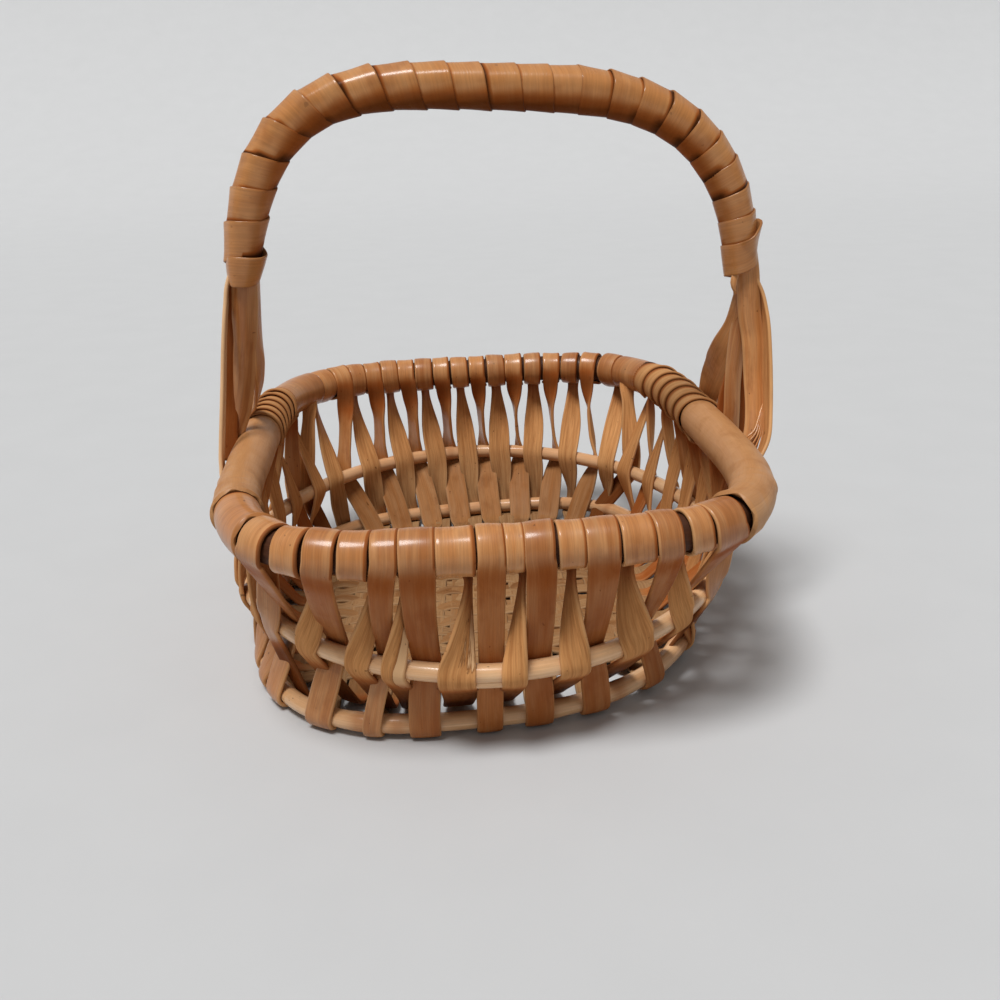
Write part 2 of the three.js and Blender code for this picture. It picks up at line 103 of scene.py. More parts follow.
class Hoop:
    """A rounded rectangle in plan.

    Its middle may lie aside, its right end be raised and its left end come forward.
    """

    def __init__(self, half_width, half_depth, squareness, height, radius, aside=0.0, raised=0.0, skew=0.0):
        self.half = np.array([half_width, half_depth])
        self.squareness = squareness
        self.height = height
        self.radius = radius
        self.aside = aside
        self.raised = raised
        self.skew = skew
        turns = np.linspace(0, 2 * math.pi, 4001) - math.pi / 2
        plan = self.point(turns)
        steps = np.linalg.norm(np.diff(plan, axis=0), axis=1)
        self.lengths = np.concatenate([[0], np.cumsum(steps)])
        self.turns = turns
        self.length = self.lengths[-1]

    def shares(self, turn):
        """How far out the plan lies in width and depth, from -1 to 1."""
        turn = np.asarray(turn, dtype=float)
        power = 2 / self.squareness
        return np.stack([signed_power(np.cos(turn), power), signed_power(np.sin(turn), power)], axis=-1)

    def point(self, turn):
        share = self.shares(turn)
        x = self.half[0] * share[..., 0] + self.aside
        y = self.half[1] * share[..., 1] + self.skew * share[..., 0]
        height = self.height + self.raised * np.clip(share[..., 0], 0, 1) ** 2
        return np.stack([x, y, height], axis=-1)

    def outward(self, turn):
        slope = signed_power(self.shares(turn), self.squareness - 1) / self.half
        slope[..., 0] -= self.skew / self.half[0] * slope[..., 1]
        return unit(np.concatenate([slope, np.zeros_like(slope[..., :1])], axis=-1))

    def turn_along(self, length):
        """The turn at a length round the hoop, from the middle of the front towards the right."""
        return np.interp(np.mod(length, self.length), self.lengths, self.turns)

    def length_at(self, turn):
        return np.interp((turn + math.pi / 2) % (2 * math.pi) - math.pi / 2, self.turns, self.lengths)

    def turn_at(self, aside, side):
        """The turn where a wall stands aside from its middle; side is front, back, left or right."""
        if side in ("front", "back"):
            share = (aside - self.aside) / self.half[0]
        else:
            share = (aside + (self.skew if side == "left" else -self.skew)) / self.half[1]
        share = math.copysign(min(abs(share), 1) ** (self.squareness / 2), share)
        if side in ("front", "back"):
            return math.copysign(math.acos(share), -1 if side == "front" else 1)
        return math.asin(share) if side == "right" else math.pi - math.asin(share)


RIM = Hoop(50, 65, 4, 39.75, 3.3)
MIDDLE = Hoop(52, 65, 1.95, 16.75, 1.75, aside=-1.5, skew=1.0)
BASE = Hoop(46, 56, 2.8, 2.75, 1.75, aside=-3.5, raised=3.5, skew=3.0)
HOOPS = (BASE, MIDDLE, RIM)


def turns_at(side, *asides):
    """The turns on the base, middle and rim hoop where a wall stands aside from its middle."""
    return [hoop.turn_at(aside, side) for hoop, aside in zip(HOOPS, asides)]


def smoothed(values, spread):
    """Rows softened along their length; the two ends stay where they are."""
    reach = min(int(3 * spread) + 1, len(values) - 1)
    offsets = np.arange(-reach, reach + 1)
    weights = np.exp(-0.5 * (offsets / spread) ** 2)
    weights /= weights.sum()
    padded = np.concatenate([
        2 * values[:1] - values[reach:0:-1], values, 2 * values[-1:] - values[-2:-reach - 2:-1]])
    columns = [np.convolve(row, weights, mode="valid") for row in padded.reshape(len(padded), -1).T]
    return np.stack(columns, axis=-1).reshape(values.shape)


def lengths_of(points):
    return np.concatenate([[0], np.cumsum(np.linalg.norm(np.diff(points, axis=0), axis=1))])


def resampled(step, points, *others):
    """Points and what goes with them, at even steps along the line."""
    lengths = lengths_of(points)
    keep = np.concatenate([[True], np.diff(lengths) > SAME_POINT])
    lengths = lengths[keep]
    count = max(int(round(lengths[-1] / step)), 2) + 1
    wanted = np.linspace(0, lengths[-1], count)
    return [interpolated(wanted, lengths, np.asarray(rows)[keep]) for rows in (points, *others)]


def through(points):
    """A smooth line through a few chosen points."""
    points = np.asarray(points, dtype=float)
    padded = np.concatenate([2 * points[:1] - points[1:2], points, 2 * points[-1:] - points[-2:-1]])
    line = []
    for before, start, end, after in zip(padded, padded[1:], padded[2:], padded[3:]):
        for share in np.linspace(0, 1, CURVE_STEPS, endpoint=False):
            line.append(0.5 * (
                2 * start + (end - before) * share + (2 * before - 5 * start + 4 * end - after) * share ** 2
                + (3 * start - before - 3 * end + after) * share ** 3))
    line.append(points[-1])
    return resampled(STRIP_STEP, np.array(line))[0]


def spread_values(values, count):
    """Values at even shares of a length, spread smoothly over a count of rows."""
    shares = np.linspace(0, 1, len(values))
    return smoothed(interpolated(np.linspace(0, 1, count), shares, values), count / 40)


def wander(count, size, scale):
    """A slow random drift along a row."""
    margin = int(3 * scale) + 1
    drift = smoothed(rng.normal(0, 1, count + 2 * margin), scale)[margin:-margin]
    return drift * size * math.sqrt(2 * scale * math.sqrt(math.pi))


def placed(name, data):
    """A new object in the scene."""
    made = bpy.data.objects.new(name, data)
    bpy.context.scene.collection.objects.link(made)
    return made


# What a material is told at each corner: its place along and across the grain, whether it is on the split
# face, how far painted shade darkens it, how far painted shade inside the basket darkens and greys it, how
# far it is torn, and the tone of its strip
MARKS = ("along", "across", "inner", "shade", "dull", "torn", "tone")

# A ribbon's section: places across its outer and inner face, and its rounded edge
OUTER_PLACES = np.array([-1, -0.92, -0.78, -0.5, 0, 0.5, 0.78, 0.92, 1])
INNER_PLACES = np.array([1, 0.8, 0, -0.8, -1])
EDGE_OUT = np.array([0.72, 1, 0.72])
EDGE_DROP = np.array([0.72, 0, -0.72])
EDGE_INNER = [0.3, 0.5, 0.7]
FACE_SHARE = 0.94
ROD_SIDES = 14


class Shape:
    """Corners, faces and marks of one piece."""

    def __init__(self, tone=None):
        self.tone = rng.uniform(0, 1) if tone is None else tone
        self.corners = []
        self.faces = []
        self.marks = {title: [] for title in MARKS}
        self.count = 0

    def add_rings(self, rings, is_loop=False, **marks):
        """Rings of corners joined in a row.

        Marks are a column for the rings, a row for the corners of a ring, or both. Those left out are 0.
        """
        rows, sides = rings.shape[:2]
        first = self.count
        self.corners.append(rings.reshape(-1, 3))
        marks["tone"] = self.tone
        for title in MARKS:
            self.marks[title].append(np.broadcast_to(marks.get(title, 0.0), (rows, sides)).reshape(-1))
        self.count += rows * sides
        for row in range(rows if is_loop else rows - 1):
            near = first + row * sides
            far = first + (row + 1) % rows * sides
            for side in range(sides):
                next_side = (side + 1) % sides
                self.faces.append((near + side, near + next_side, far + next_side, far + side))
        if not is_loop:
            last = first + (rows - 1) * sides
            self.faces.append(tuple(range(first + sides - 1, first - 1, -1)))
            self.faces.append(tuple(range(last, last + sides)))

    def add_ribbon(self, line, across, width, thickness=STRIP_THICKNESS, twist=0.0, crown=0.1, shade=0.0,
                   tucked=0.0, tuck_from=0.85, flipped=False, dull=0.0, torn=0.0):
        """A flat strip with rounded edges; its outer face lies to the side of line's run x across.

        Tucked paints shade on the edge that lies under its neighbour, from a share of the half width on: 1
        for the edge against across, -1 for the other one. A flipped strip has its split side on the outer
        face.
        The dull mark is painted shade inside the basket, how far it darkens and greys the willow, and torn
        how far its skin is gone on the half along across.
        """
        count = len(line)
        run = unit(np.gradient(line, axis=0))
        across = unit(across - np.sum(across * run, axis=1, keepdims=True) * run)
        face = np.cross(run, across)
        twist = np.broadcast_to(np.radians(twist), (count,))
        turned_across = turned_towards(twist, across, face)
        turned_face = turned_towards(twist, face, -across)
        half = column(width, count) / 2
        thick = column(thickness, count) / 2
        edge = np.minimum(0.8 * thick, 0.5 * half)
        flat = half - edge
        rounded = flat + edge * EDGE_OUT
        sideways = np.concatenate([flat * OUTER_PLACES, rounded, flat * INNER_PLACES, -rounded], axis=1)
        outwards = np.concatenate([
            thick + crown * (1 - OUTER_PLACES ** 2), thick * EDGE_DROP,
            crown * (1 - INNER_PLACES ** 2) - thick, -thick * EDGE_DROP], axis=1)
        rings = (line[:, None] + sideways[..., None] * turned_across[:, None]
                 + outwards[..., None] * turned_face[:, None])
        across_share = np.concatenate([
            OUTER_PLACES * FACE_SHARE, np.ones(3), INNER_PLACES * FACE_SHARE, -np.ones(3)])
        inner = np.concatenate([
            np.zeros(len(OUTER_PLACES)), EDGE_INNER, np.ones(len(INNER_PLACES)), EDGE_INNER[::-1]])
        inner = 1 - inner if flipped else inner
        along = rng.uniform(0, GRAIN_LENGTH) + lengths_of(line)[:, None]
        tucked = column(tucked, count)
        into_tuck = -np.sign(tucked) * across_share - column(tuck_from, count)
        shade = np.maximum(column(shade, count), np.abs(tucked) * np.clip(into_tuck / 0.1, 0, 1))
        torn = column(torn, count) * np.clip((across_share + 0.15) / 0.3, 0, 1)
        self.add_rings(rings, along=along, across=across_share, inner=inner, shade=shade,
                       dull=column(dull, count), torn=torn)

    def add_rod(self, line, radius, is_loop=False, shade=0.0):
        """A round rod along a line."""
        count = len(line)
        if is_loop:
            run = unit(np.roll(line, -1, axis=0) - np.roll(line, 1, axis=0))
        else:
            run = unit(np.gradient(line, axis=0))
        level = unit(np.cross(run, UP) + NUDGE * FORWARD)
        rise = np.cross(level, run)
        angles = np.arange(ROD_SIDES) * 2 * math.pi / ROD_SIDES
        radial = turned_towards(angles, level[:, None], rise[:, None])
        rings = line[:, None] + column(radius, count)[..., None] * radial
        along = rng.uniform(0, GRAIN_LENGTH) + lengths_of(line)[:, None]
        across = np.sin(angles / 2) * 2 - 1
        self.add_rings(rings, is_loop, along=along, across=across, shade=column(shade, count))

    def make(self, name, material, slot, *nodes):
        """The finished object, riding on the basket in place of its solids."""
        mesh = bpy.data.meshes.new(name)
        mesh.from_pydata(np.concatenate(self.corners) * MILLIMETRE, [], self.faces)
        for title, rows in self.marks.items():
            values = np.ascontiguousarray(np.concatenate(rows), dtype=np.float32)
            mesh.attributes.new(title, "FLOAT", "POINT").data.foreach_set("value", values)
        mesh.validate()
        mesh.shade_smooth()
        mesh.materials.append(material)
        piece = placed(name, mesh)
        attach(piece, "root")
        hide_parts(*nodes)


# Materials: willow seen along its fibres, with the strip's own tone, paler split faces, worn edges and
# painted shade
class Nodes:
    """A short way to lay out the nodes of one material."""

    def __init__(self, name):
        self.material = bpy.data.materials.new(name)
        self.material.use_nodes = True
        self.tree = self.material.node_tree
        self.shader = self.tree.nodes["Principled BSDF"]

    def feed(self, socket, value):
        """Gives a socket a number, a colour, or what another node puts out."""
        if isinstance(value, (int, float)):
            socket.default_value = value
        elif isinstance(value, tuple):
            socket.default_value = (*value, 1.0)
        else:
            self.tree.links.new(value, socket)

    def made(self, kind, inputs, output=0, **settings):
        """What a new node puts out."""
        node = self.tree.nodes.new(kind)
        for key, value in settings.items():
            setattr(node, key, value)
        for title, value in inputs.items():
            self.feed(node.inputs[title], value)
        return node.outputs[output]

    def math(self, operation, *values):
        return self.made("ShaderNodeMath", dict(enumerate(values)), operation=operation)

    def times(self, first, second):
        return self.math("MULTIPLY", first, second)

    def plus(self, first, second):
        return self.math("ADD", first, second)

    def vector(self, *values):
        return self.made("ShaderNodeCombineXYZ", dict(enumerate(values)))

    def noise(self, vector, scale, detail=3.0, roughness=0.55):
        inputs = {"Vector": vector, "Scale": scale, "Detail": detail, "Roughness": roughness}
        return self.made("ShaderNodeTexNoise", inputs, "Fac")

    def between(self, value, low, high, to_low, to_high):
        inputs = {"Value": value, "From Min": low, "From Max": high, "To Min": to_low, "To Max": to_high}
        return self.made("ShaderNodeMapRange", inputs, "Result", interpolation_type="SMOOTHSTEP")

    def mix(self, share, first, second, blend="MIX"):
        inputs = {"Factor": share, "A": first, "B": second}
        return self.made("ShaderNodeMix", inputs, "Result", data_type="RGBA", blend_type=blend)

    def finish(self, inputs):
        """The material, with its shader fed."""
        for title, value in inputs.items():
            self.feed(self.shader.inputs[title], value)
        return self.material


def srgb(red, green, blue):
    """Linear light of a colour given as on a screen, 0 to 255."""
    shares = [value / 255 for value in (red, green, blue)]
    return tuple(share / 12.92 if share <= 0.04045 else ((share + 0.055) / 1.055) ** 2.4 for share in shares)


# What is left of each colour under the painted shade inside the basket, which darkens and greys it
INSIDE_SHADE_TINT = (0.54, 0.62, 0.76)
# Colours of dark specks, of light and deep painted shade, and of torn skin: its ragged edge and the wood
# under it
SPECK = srgb(66, 34, 16)
LIGHT_SHADE = srgb(138, 60, 9)
DEEP_SHADE = srgb(34, 16, 6)
TORN_EDGE = srgb(92, 52, 26)
TORN_FACE = srgb(236, 194, 146)
# How far apart in the grain strips of different tone lie
TONE_SPREAD = 97.0


def willow(name, deep, plain, light, split, edge=None, roughness=0.42, fibre=1.0, speck=1.0, coat=0.3):
    """Varnished willow, with colours as on a screen.

    Deep, plain and light are the strip's own tones, split is its paler inner face, and edge its edges: paler
    where worn, or dark where it paints the shade of the seams on the wound strips.
    """
    nodes = Nodes(name)
    along, across, inner, shade, dull, torn, tone = [
        nodes.made("ShaderNodeAttribute", {}, "Fac", attribute_name=title) for title in MARKS]
    tones = (deep, plain, light, split, edge or light)
    deep, plain, light, split, edge = [srgb(*colour) for colour in tones]
    place = nodes.times(tone, TONE_SPREAD)
    sideways = nodes.times(across, GRAIN_HALF_WIDTH)

    def grain(stretch, *settings):
        """Noise drawn out along the fibres, the more so the smaller stretch is."""
        return nodes.noise(nodes.vector(sideways, nodes.times(along, stretch), place), *settings)

    fine = grain(0.03, 4.4, 3.0, 0.6)
    broad = grain(0.12, 0.5, 2.0)
    blotch = grain(0.6, 0.22, 3.0, 0.6)
    colour = nodes.mix(nodes.between(tone, 0.0, 1.0, 0.0, 0.6), plain, deep)
    colour = nodes.mix(nodes.between(broad, 0.35, 0.75, 0.0, 0.4), colour, light)
    colour = nodes.mix(nodes.between(blotch, 0.48, 0.75, 0.0, 0.45), colour, deep)
    colour = nodes.mix(nodes.times(inner, 0.7), colour, split)
    streaks = nodes.between(fine, 0.34, 0.68, 1 - 0.14 * fibre, 1 + 0.06 * fibre)
    colour = nodes.mix(1.0, colour, nodes.vector(streaks, streaks, streaks), "MULTIPLY")
    coarse = grain(0.05, 1.7, 4.0, 0.7)
    frayed = nodes.times(nodes.between(coarse, 0.36, 0.6, 0.38, 0.0), inner)
    colour = nodes.mix(frayed, colour, deep)
    ragged = nodes.plus(torn, nodes.between(coarse, 0.3, 0.7, -0.25, 0.25))
    colour = nodes.mix(nodes.between(ragged, 0.32, 0.42, 0.0, 0.6), colour, TORN_EDGE)
    colour = nodes.mix(nodes.between(ragged, 0.44, 0.58, 0.0, 0.75), colour, TORN_FACE)
    # Edges take the edge colour: paler where worn, or painted seam shade on the wound strips
    edge_share = nodes.between(nodes.math("ABSOLUTE", across), 0.9, 1.0, 0.0, 0.3)
    edge_share = nodes.times(edge_share, nodes.plus(inner, 1.0))
    colour = nodes.mix(edge_share, colour, edge)
    spots = grain(0.6, 1.1, 1.0)
    speck_share = nodes.between(spots, 0.74, 0.79, 0.0, 0.6 * speck)
    colour = nodes.mix(speck_share, colour, SPECK)
    # Painted shade inside the basket darkens and greys the colour
    colour = nodes.mix(dull, colour, INSIDE_SHADE_TINT, "MULTIPLY")
    # Painted shade: first a warm brown, then near black where it is deepest
    colour = nodes.mix(nodes.between(shade, 0.0, 0.5, 0.0, 0.7), colour, LIGHT_SHADE)
    colour = nodes.mix(nodes.between(shade, 0.35, 1.0, 0.0, 0.9), colour, DEEP_SHADE)
    rough = nodes.between(blotch, 0.3, 0.7, roughness - 0.08, roughness + 0.12)
    relief = nodes.plus(fine, nodes.times(broad, 0.8))
    relief = nodes.plus(relief, nodes.times(speck_share, 0.8))
    bump = {"Strength": 0.3, "Distance": 0.00018, "Height": relief}
    # The coat and gloss fall away where shade is painted, and on the split face
    matte = nodes.plus(nodes.times(nodes.plus(shade, dull), 2.5), inner)
    return nodes.finish({
        "Base Color": colour,
        "Roughness": nodes.plus(rough, nodes.times(inner, 0.1)),
        "Normal": nodes.made("ShaderNodeBump", bump, "Normal"),
        "Coat Weight": nodes.times(nodes.between(matte, 0.0, 1.0, 1.0, 0.0), coat),
        "Specular IOR Level": nodes.between(matte, 0.0, 1.0, 0.2, 0.03),
        "Coat Roughness": 0.18,
    })


STRIP_LOOK = willow(
    "willow_strip", deep=(138, 76, 32), plain=(192, 129, 74), light=(212, 163, 112),
    split=(216, 159, 102), coat=0.45)
# Its dark edge colour is painted shade in the seams between turns
WRAP_LOOK = willow(
    "willow_wrap", deep=(140, 80, 36), plain=(188, 126, 70), light=(206, 154, 102),
    split=(194, 144, 94), edge=(96, 52, 22), roughness=0.34, fibre=0.7, speck=0.5, coat=0.45)
COVER_LOOK = willow(
    "willow_cover", deep=(150, 96, 52), plain=(190, 138, 90), light=(202, 154, 106),
    split=(194, 144, 94), edge=(150, 96, 52), roughness=0.5, fibre=0.5, speck=0.3, coat=0.05)
ROD_LOOK = willow(
    "willow_rod", deep=(186, 132, 82), plain=(226, 178, 130), light=(238, 202, 160),
    split=(220, 176, 124), roughness=0.3, fibre=0.6, speck=0.8, coat=0.7)
# Paler than the other willow, partly as painted light: its splint faces away from the lamp
PALE_LOOK = willow(
    "willow_pale", deep=(200, 152, 106), plain=(230, 188, 144), light=(240, 206, 166),
    split=(226, 184, 140), edge=(206, 160, 116), roughness=0.5, fibre=0.8, speck=0.5, coat=0.05)
# Near black, so the rim's core paints the shade seen in the gaps between the wraps
CORE_LOOK = willow(
    "willow_core", deep=(46, 24, 12), plain=(70, 38, 20), light=(92, 54, 30),
    split=(80, 48, 28), roughness=0.6, coat=0.05)


# Hoops: peeled rods with small swellings, and the covered core of the rim
HOOP_WAVES = 9


def hoop_rod(hoop, knots=9, wobble=0.08, back_shade=0.2):
    """The rod of one hoop, with so many swellings; dim paints shade on it towards the back."""
    shape = Shape()
    turns = hoop.turn_along(np.linspace(0, hoop.length, int(hoop.length), endpoint=False))
    count = len(turns)
    waves = np.sin(np.arange(count) * 2 * math.pi * HOOP_WAVES / count)[:, None]
    line = hoop.point(turns) + hoop.outward(turns) * wobble * waves
    swell = np.zeros(count)
    for knot in rng.uniform(0, count, knots):
        apart = np.abs(np.arange(count) - knot)
        apart = np.minimum(apart, count - apart)
        swell += np.exp(-0.5 * (apart / 1.6) ** 2)
    # Swellings are a little darker, and painted shade darkens the rod towards the back
    backward = np.clip(1.5 * hoop.shares(turns)[:, 1] - 0.2, 0, 1)
    shade = np.maximum(0.3 * np.clip(swell, 0, 1), back_shade * backward)
    shape.add_rod(line, hoop.radius * (1 + 0.08 * swell), is_loop=True, shade=shade)
    return shape


hoop_rod(RIM, knots=0, wobble=0.0, back_shade=0.0).make("rim_core_rod", CORE_LOOK, "core", "rim_core")
hoop_rod(BASE).make("base_hoop_rod", ROD_LOOK, "rod", "base_hoop")

# The middle hoop's own end runs on for a little way under its start
JOINT_FROM = -8.4
JOINT_TO = -1.4
JOINT_DROP = 1.4
JOINT_ROWS = 24
middle_rod = hoop_rod(MIDDLE)
joint_turns = np.linspace(MIDDLE.turn_at(JOINT_FROM, "front"), MIDDLE.turn_at(JOINT_TO, "front"), JOINT_ROWS)
joint_radii = np.interp(np.arange(JOINT_ROWS), [0, 6, 20, 23], [0.8, 1.35, 1.35, 0.9])
middle_rod.add_rod(MIDDLE.point(joint_turns) - JOINT_DROP * UP, joint_radii)
middle_rod.make("middle_hoop_rod", ROD_LOOK, "rod", "middle_hoop")


# The wall: each strip is a taut band round the rods, seen in its own upright plane
def band(circles, last_angle):
    """A line from the floor round circles (out, up, radius, way) in turn, to an angle on the last one.

    Way 1 turns counter-clockwise and way -1 clockwise, with outward to the right. Gives the points and, for
    each, whether it lies on the last circle.
    """
    points = []
    on_last = []
    enter = -math.pi / 2
    for index, (out, up, radius, way) in enumerate(circles):
        is_last = index == len(circles) - 1
        if is_last:
            leave = last_angle
        else:
            next_out, next_up, next_radius, next_way = circles[index + 1]
            apart = math.hypot(next_out - out, next_up - up)
            heading = math.atan2(next_up - up, next_out - out) - math.asin(
                (next_way * next_radius - way * radius) / apart)
            leave = heading - way * math.pi / 2
        turned = way * (leave - enter) % (2 * math.pi)
        if turned > math.pi and not is_last:
            turned = 0.0
        angles = enter + way * np.linspace(0, turned, max(int(turned / 0.12), 1) + 1)
        points.append(np.stack([out + radius * np.cos(angles), up + radius * np.sin(angles)], axis=-1))
        on_last.append(np.full(len(angles), is_last))
        if not is_last:
            enter = heading - next_way * math.pi / 2
    flat = np.concatenate(points)
    flags = np.concatenate(on_last).astype(float)
    return resampled(FINE_STEP, flat, flags)


HOOP_PASS = MIDDLE.radius + STRIP_CLEARANCE + STRIP_THICKNESS / 2
FLOOR_BEND = 2.4
FLOOR_WIDTH = 4.1
FLOOR_SHADE = 0.02
FLOOR_LEVEL = 1.3
FLOOR_WEAVE = 0.43
UNDER_RIM = 2.6
NOT_TORN = (0, 0, 0)


class Wall:
    """One strip's run up a wall, taut round the three hoops.

    Profile rows give at a height how broad the strip is, how many degrees it is turned out of its flat way,
    and how far it stands aside. An inner strip comes from the floor inset from the base hoop.
    """

    def __init__(self, is_outer, turns, profile, hook_degrees=None, rim_width=4.6, oblique=0.0, lift=0.0,
                 shade=0.15, stake_shade=0.0, rim_twist=0.0, inset=0.0, recess_shade=0.7, dull=0.0, foot_pale=0.0,
                 torn=NOT_TORN):
        spots = np.array([hoop.point(turn) for hoop, turn in zip(HOOPS, turns)])
        outward = np.array([hoop.outward(turn) for hoop, turn in zip(HOOPS, turns)])
        steps = np.diff(spots, axis=0)
        reach = np.array([0, np.dot(steps[0], outward[1]), 0])
        reach[2] = reach[1] + np.dot(steps[1], outward[2])
        heights = spots[:, 2]
        way = 1 if is_outer else -1
        circles = [(reach[0], heights[0], HOOP_PASS, 1)]
        if not is_outer:
            inside = reach[0] - HOOP_PASS - FLOOR_BEND - inset
            circles = [(inside, FLOOR_LEVEL + FLOOR_BEND, FLOOR_BEND, 1)]
        circles.append((reach[1], heights[1], HOOP_PASS, -way))
        if hook_degrees is None:
            circles.append((reach[2], heights[2], UNDER_RIM, way))
            hook_degrees = -60 if is_outer else 240
        else:
            circles.append((reach[2], heights[2], RIM_WRAP_RADIUS + lift, way))
        flat, on_rim = band(circles, math.radians(hook_degrees))
        up = flat[:, 1]
        spot = interpolated(up, heights, spots)
        way_out = unit(interpolated(up, heights, outward))
        away = flat[:, 0] - np.interp(up, heights, reach)
        self.level = np.cross(UP, way_out)
        is_free = on_rim < 0.999
        on_rim = 1.0 - is_free
        hooked = np.cumsum(on_rim) / max(on_rim.sum(), 1)
        marks, widths, twists, slides = np.array(profile, dtype=float).T
        slide = np.where(is_free, np.interp(up, marks, slides), oblique * (hooked - 0.5))
        self.line = spot + way_out * away[:, None] + self.level * slide[:, None]
        self.line[:, 2] = up
        self.twist = np.where(is_free, np.interp(up, marks, twists), rim_twist)
        self.width = np.where(is_free, np.interp(up, marks, widths), rim_width)
        # Painted shade: darker nearing the rim's underside, below the middle hoop on inner strips, and along
        # the stake
        under_rim = np.clip((up - heights[2] + 15) / 11, 0, 1) ** 2
        below = np.clip((heights[1] - 1.5 - up) / 4, 0, 0 if is_outer else recess_shade)
        stake_shade = stake_shade * (1 - foot_pale * np.clip((heights[1] - up) / 4, 0, 1))
        self.shade = np.where(is_free, np.maximum(np.maximum(shade * under_rim, below), stake_shade), 0)
        # Painted shade inside the basket, strongest at the foot and gone a little above the middle hoop
        self.dull = dull * np.clip((heights[1] + 4 - up) / 8, 0, 1)
        torn_from, torn_to, torn_share = torn
        fading = np.clip((up - torn_from) / 2, 0, 1) * np.clip((torn_to - up) / 4, 0, 1)
        self.torn = torn_share * fading * is_free
        self.on_rim = on_rim


# Over how many steps a strip's line, its turning and its shade are softened
LINE_SOFTNESS = 0.8
TURN_SOFTNESS = 1.6
SHADE_SOFTNESS = 2.0


def woven_strip(index, walls, runs_lengthwise, is_outer):
    """A strip from one wall over the floor to the other, over and under the strips it crosses."""
    first, second = walls
    shape = Shape(rng.uniform(0.3, 1.0) if is_outer else rng.uniform(0.0, 0.7))
    start, end = first.line[0], second.line[0]
    apart = np.linalg.norm(end - start)
    shares = np.linspace(0, 1, int(apart))[1:-1]
    floor = start + (end - start) * shares[:, None]
    crossed = CROSSWISE_PITCH if runs_lengthwise else LENGTHWISE_PITCH
    position = floor[:, 1] if runs_lengthwise else floor[:, 0]
    sign = (1 if runs_lengthwise else -1) * (-1) ** index
    weave = FLOOR_LEVEL + sign * FLOOR_WEAVE * np.cos(math.pi * position / crossed)
    inside = np.clip(np.minimum(shares, 1 - shares) * apart / 4, 0, 1)
    floor[:, 2] = floor[:, 2] * (1 - inside) + weave * inside
    side = np.array([1.0, 0, 0]) if runs_lengthwise else np.array([0, -1.0, 0])
    signs = [1 if np.mean(wall.level @ side) > 0 else -1 for wall in walls]

    def joined(on_first, on_second, on_floor=0.0):
        """What holds on the two walls, with one value for the floor in between."""
        return np.concatenate([on_first[::-1], np.full(len(floor), on_floor), on_second])

    floor_across = np.tile(side, (len(floor), 1))
    # The floor takes the full painted shade inside the basket
    line, across, twist, width, shade, dull, torn, on_rim = resampled(
        STRIP_STEP,
        np.concatenate([first.line[::-1], floor, second.line]),
        np.concatenate([signs[0] * first.level[::-1], floor_across, signs[1] * second.level]),
        joined(first.twist, second.twist),
        joined(first.width, second.width, FLOOR_WIDTH),
        joined(first.shade, second.shade, FLOOR_SHADE),
        joined(first.dull, second.dull, 1.0),
        joined(first.torn, second.torn),
        joined(first.on_rim, second.on_rim))
    width = smoothed(width, TURN_SOFTNESS) * (1 + wander(len(line), 0.025, 14))
    # Painted shade on one edge of each wrap on the rim draws the seams
    shape.add_ribbon(
        smoothed(line, LINE_SOFTNESS), smoothed(across, TURN_SOFTNESS), width,
        twist=smoothed(twist, TURN_SOFTNESS), shade=smoothed(shade, SHADE_SOFTNESS), tucked=-0.6 * on_rim,
        flipped=not is_outer, dull=smoothed(dull, SHADE_SOFTNESS), torn=torn)
    return shape


# Heights at which strips begin and end to turn on their way up
LOW = 9.5
LEAF_FOOT = MIDDLE.height + 1.0
LEAF_TIP = 34.0
RIM_FOOT = 35.5


def leaf(width, way, lean, narrow=0.94, over=0.0):
    """Profile rows of a strip that turns edge-on as it rises, so that it looks like a leaf from outside.

    Way 1 brings its right edge forward and -1 its left edge. Lean moves its tip to the right by shares of
    half its width, and over is how many degrees further the tip turns.
    """
    rows = [(BASE.height, 0.85 * width, 0, 0), (LOW, 0.92 * width, way * 8, 0), (MIDDLE.height, width, 0, 0)]
    for share in np.linspace(0, 1, 7):
        seen = 1 - narrow * share
        turned = way * math.degrees(math.acos(seen)) + over * share
        height = LEAF_FOOT + (LEAF_TIP - LEAF_FOOT) * share
        rows.append((height, width * (1 - 0.38 * share), turned, lean * width / 2 * (1 - seen)))
    rows.append((RIM.height - 0.5, 0.8 * width, 0, 0))
    return rows


# Places of the strips on the front wall, from left to right, as far from its middle as the photo shows them.
# Outer strips: place and width at the rim, place and width at the base.
FRONT_OUTER = [
    (-40.6, 5.6, -43.5, 5.8), (-30.5, 5.3, -34.8, 6.0), (-20.7, 4.5, -25.4, 3.7), (-15.4, 6.0, -16.1, 5.9),
    (-3.5, 5.0, -4.5, 4.9), (4.6, 5.2, 4.6, 5.4), (14.8, 5.7, 15.1, 5.7), (25.5, 4.4, 27.0, 5.0),
    (35.8, 7.0, 36.8, 4.6),
]
# Inner strips: place and width at the rim and at the middle hoop, way of turning, lean of the tip. One that
# has no width at the rim ends below it.
FRONT_INNER = [
    (-35.5, 5.5, -35.5, 5.3, -1, 1.0), (-25.4, 5.1, -26.4, 5.0, -1, 1.0), (-18.9, 0, -20.2, 4.6, -1, 0.6),
    (-9.3, 6.7, -9.8, 6.8, -1, 0.7), (0.5, 3.5, -0.4, 4.4, 1, 0.9), (9.8, 4.8, 9.9, 5.8, 1, 0.3),
    (20.6, 5.8, 21.6, 6.7, 1, 0.0), (30.9, 4.3, 31.5, 5.4, 1, 0.0),
]
# Two of them have lost their skin on the right half: from which height, to which height, how far
FRONT_TORN = {2: (12.0, 31.0, 1.0), 3: (17.5, 31.0, 0.55)}
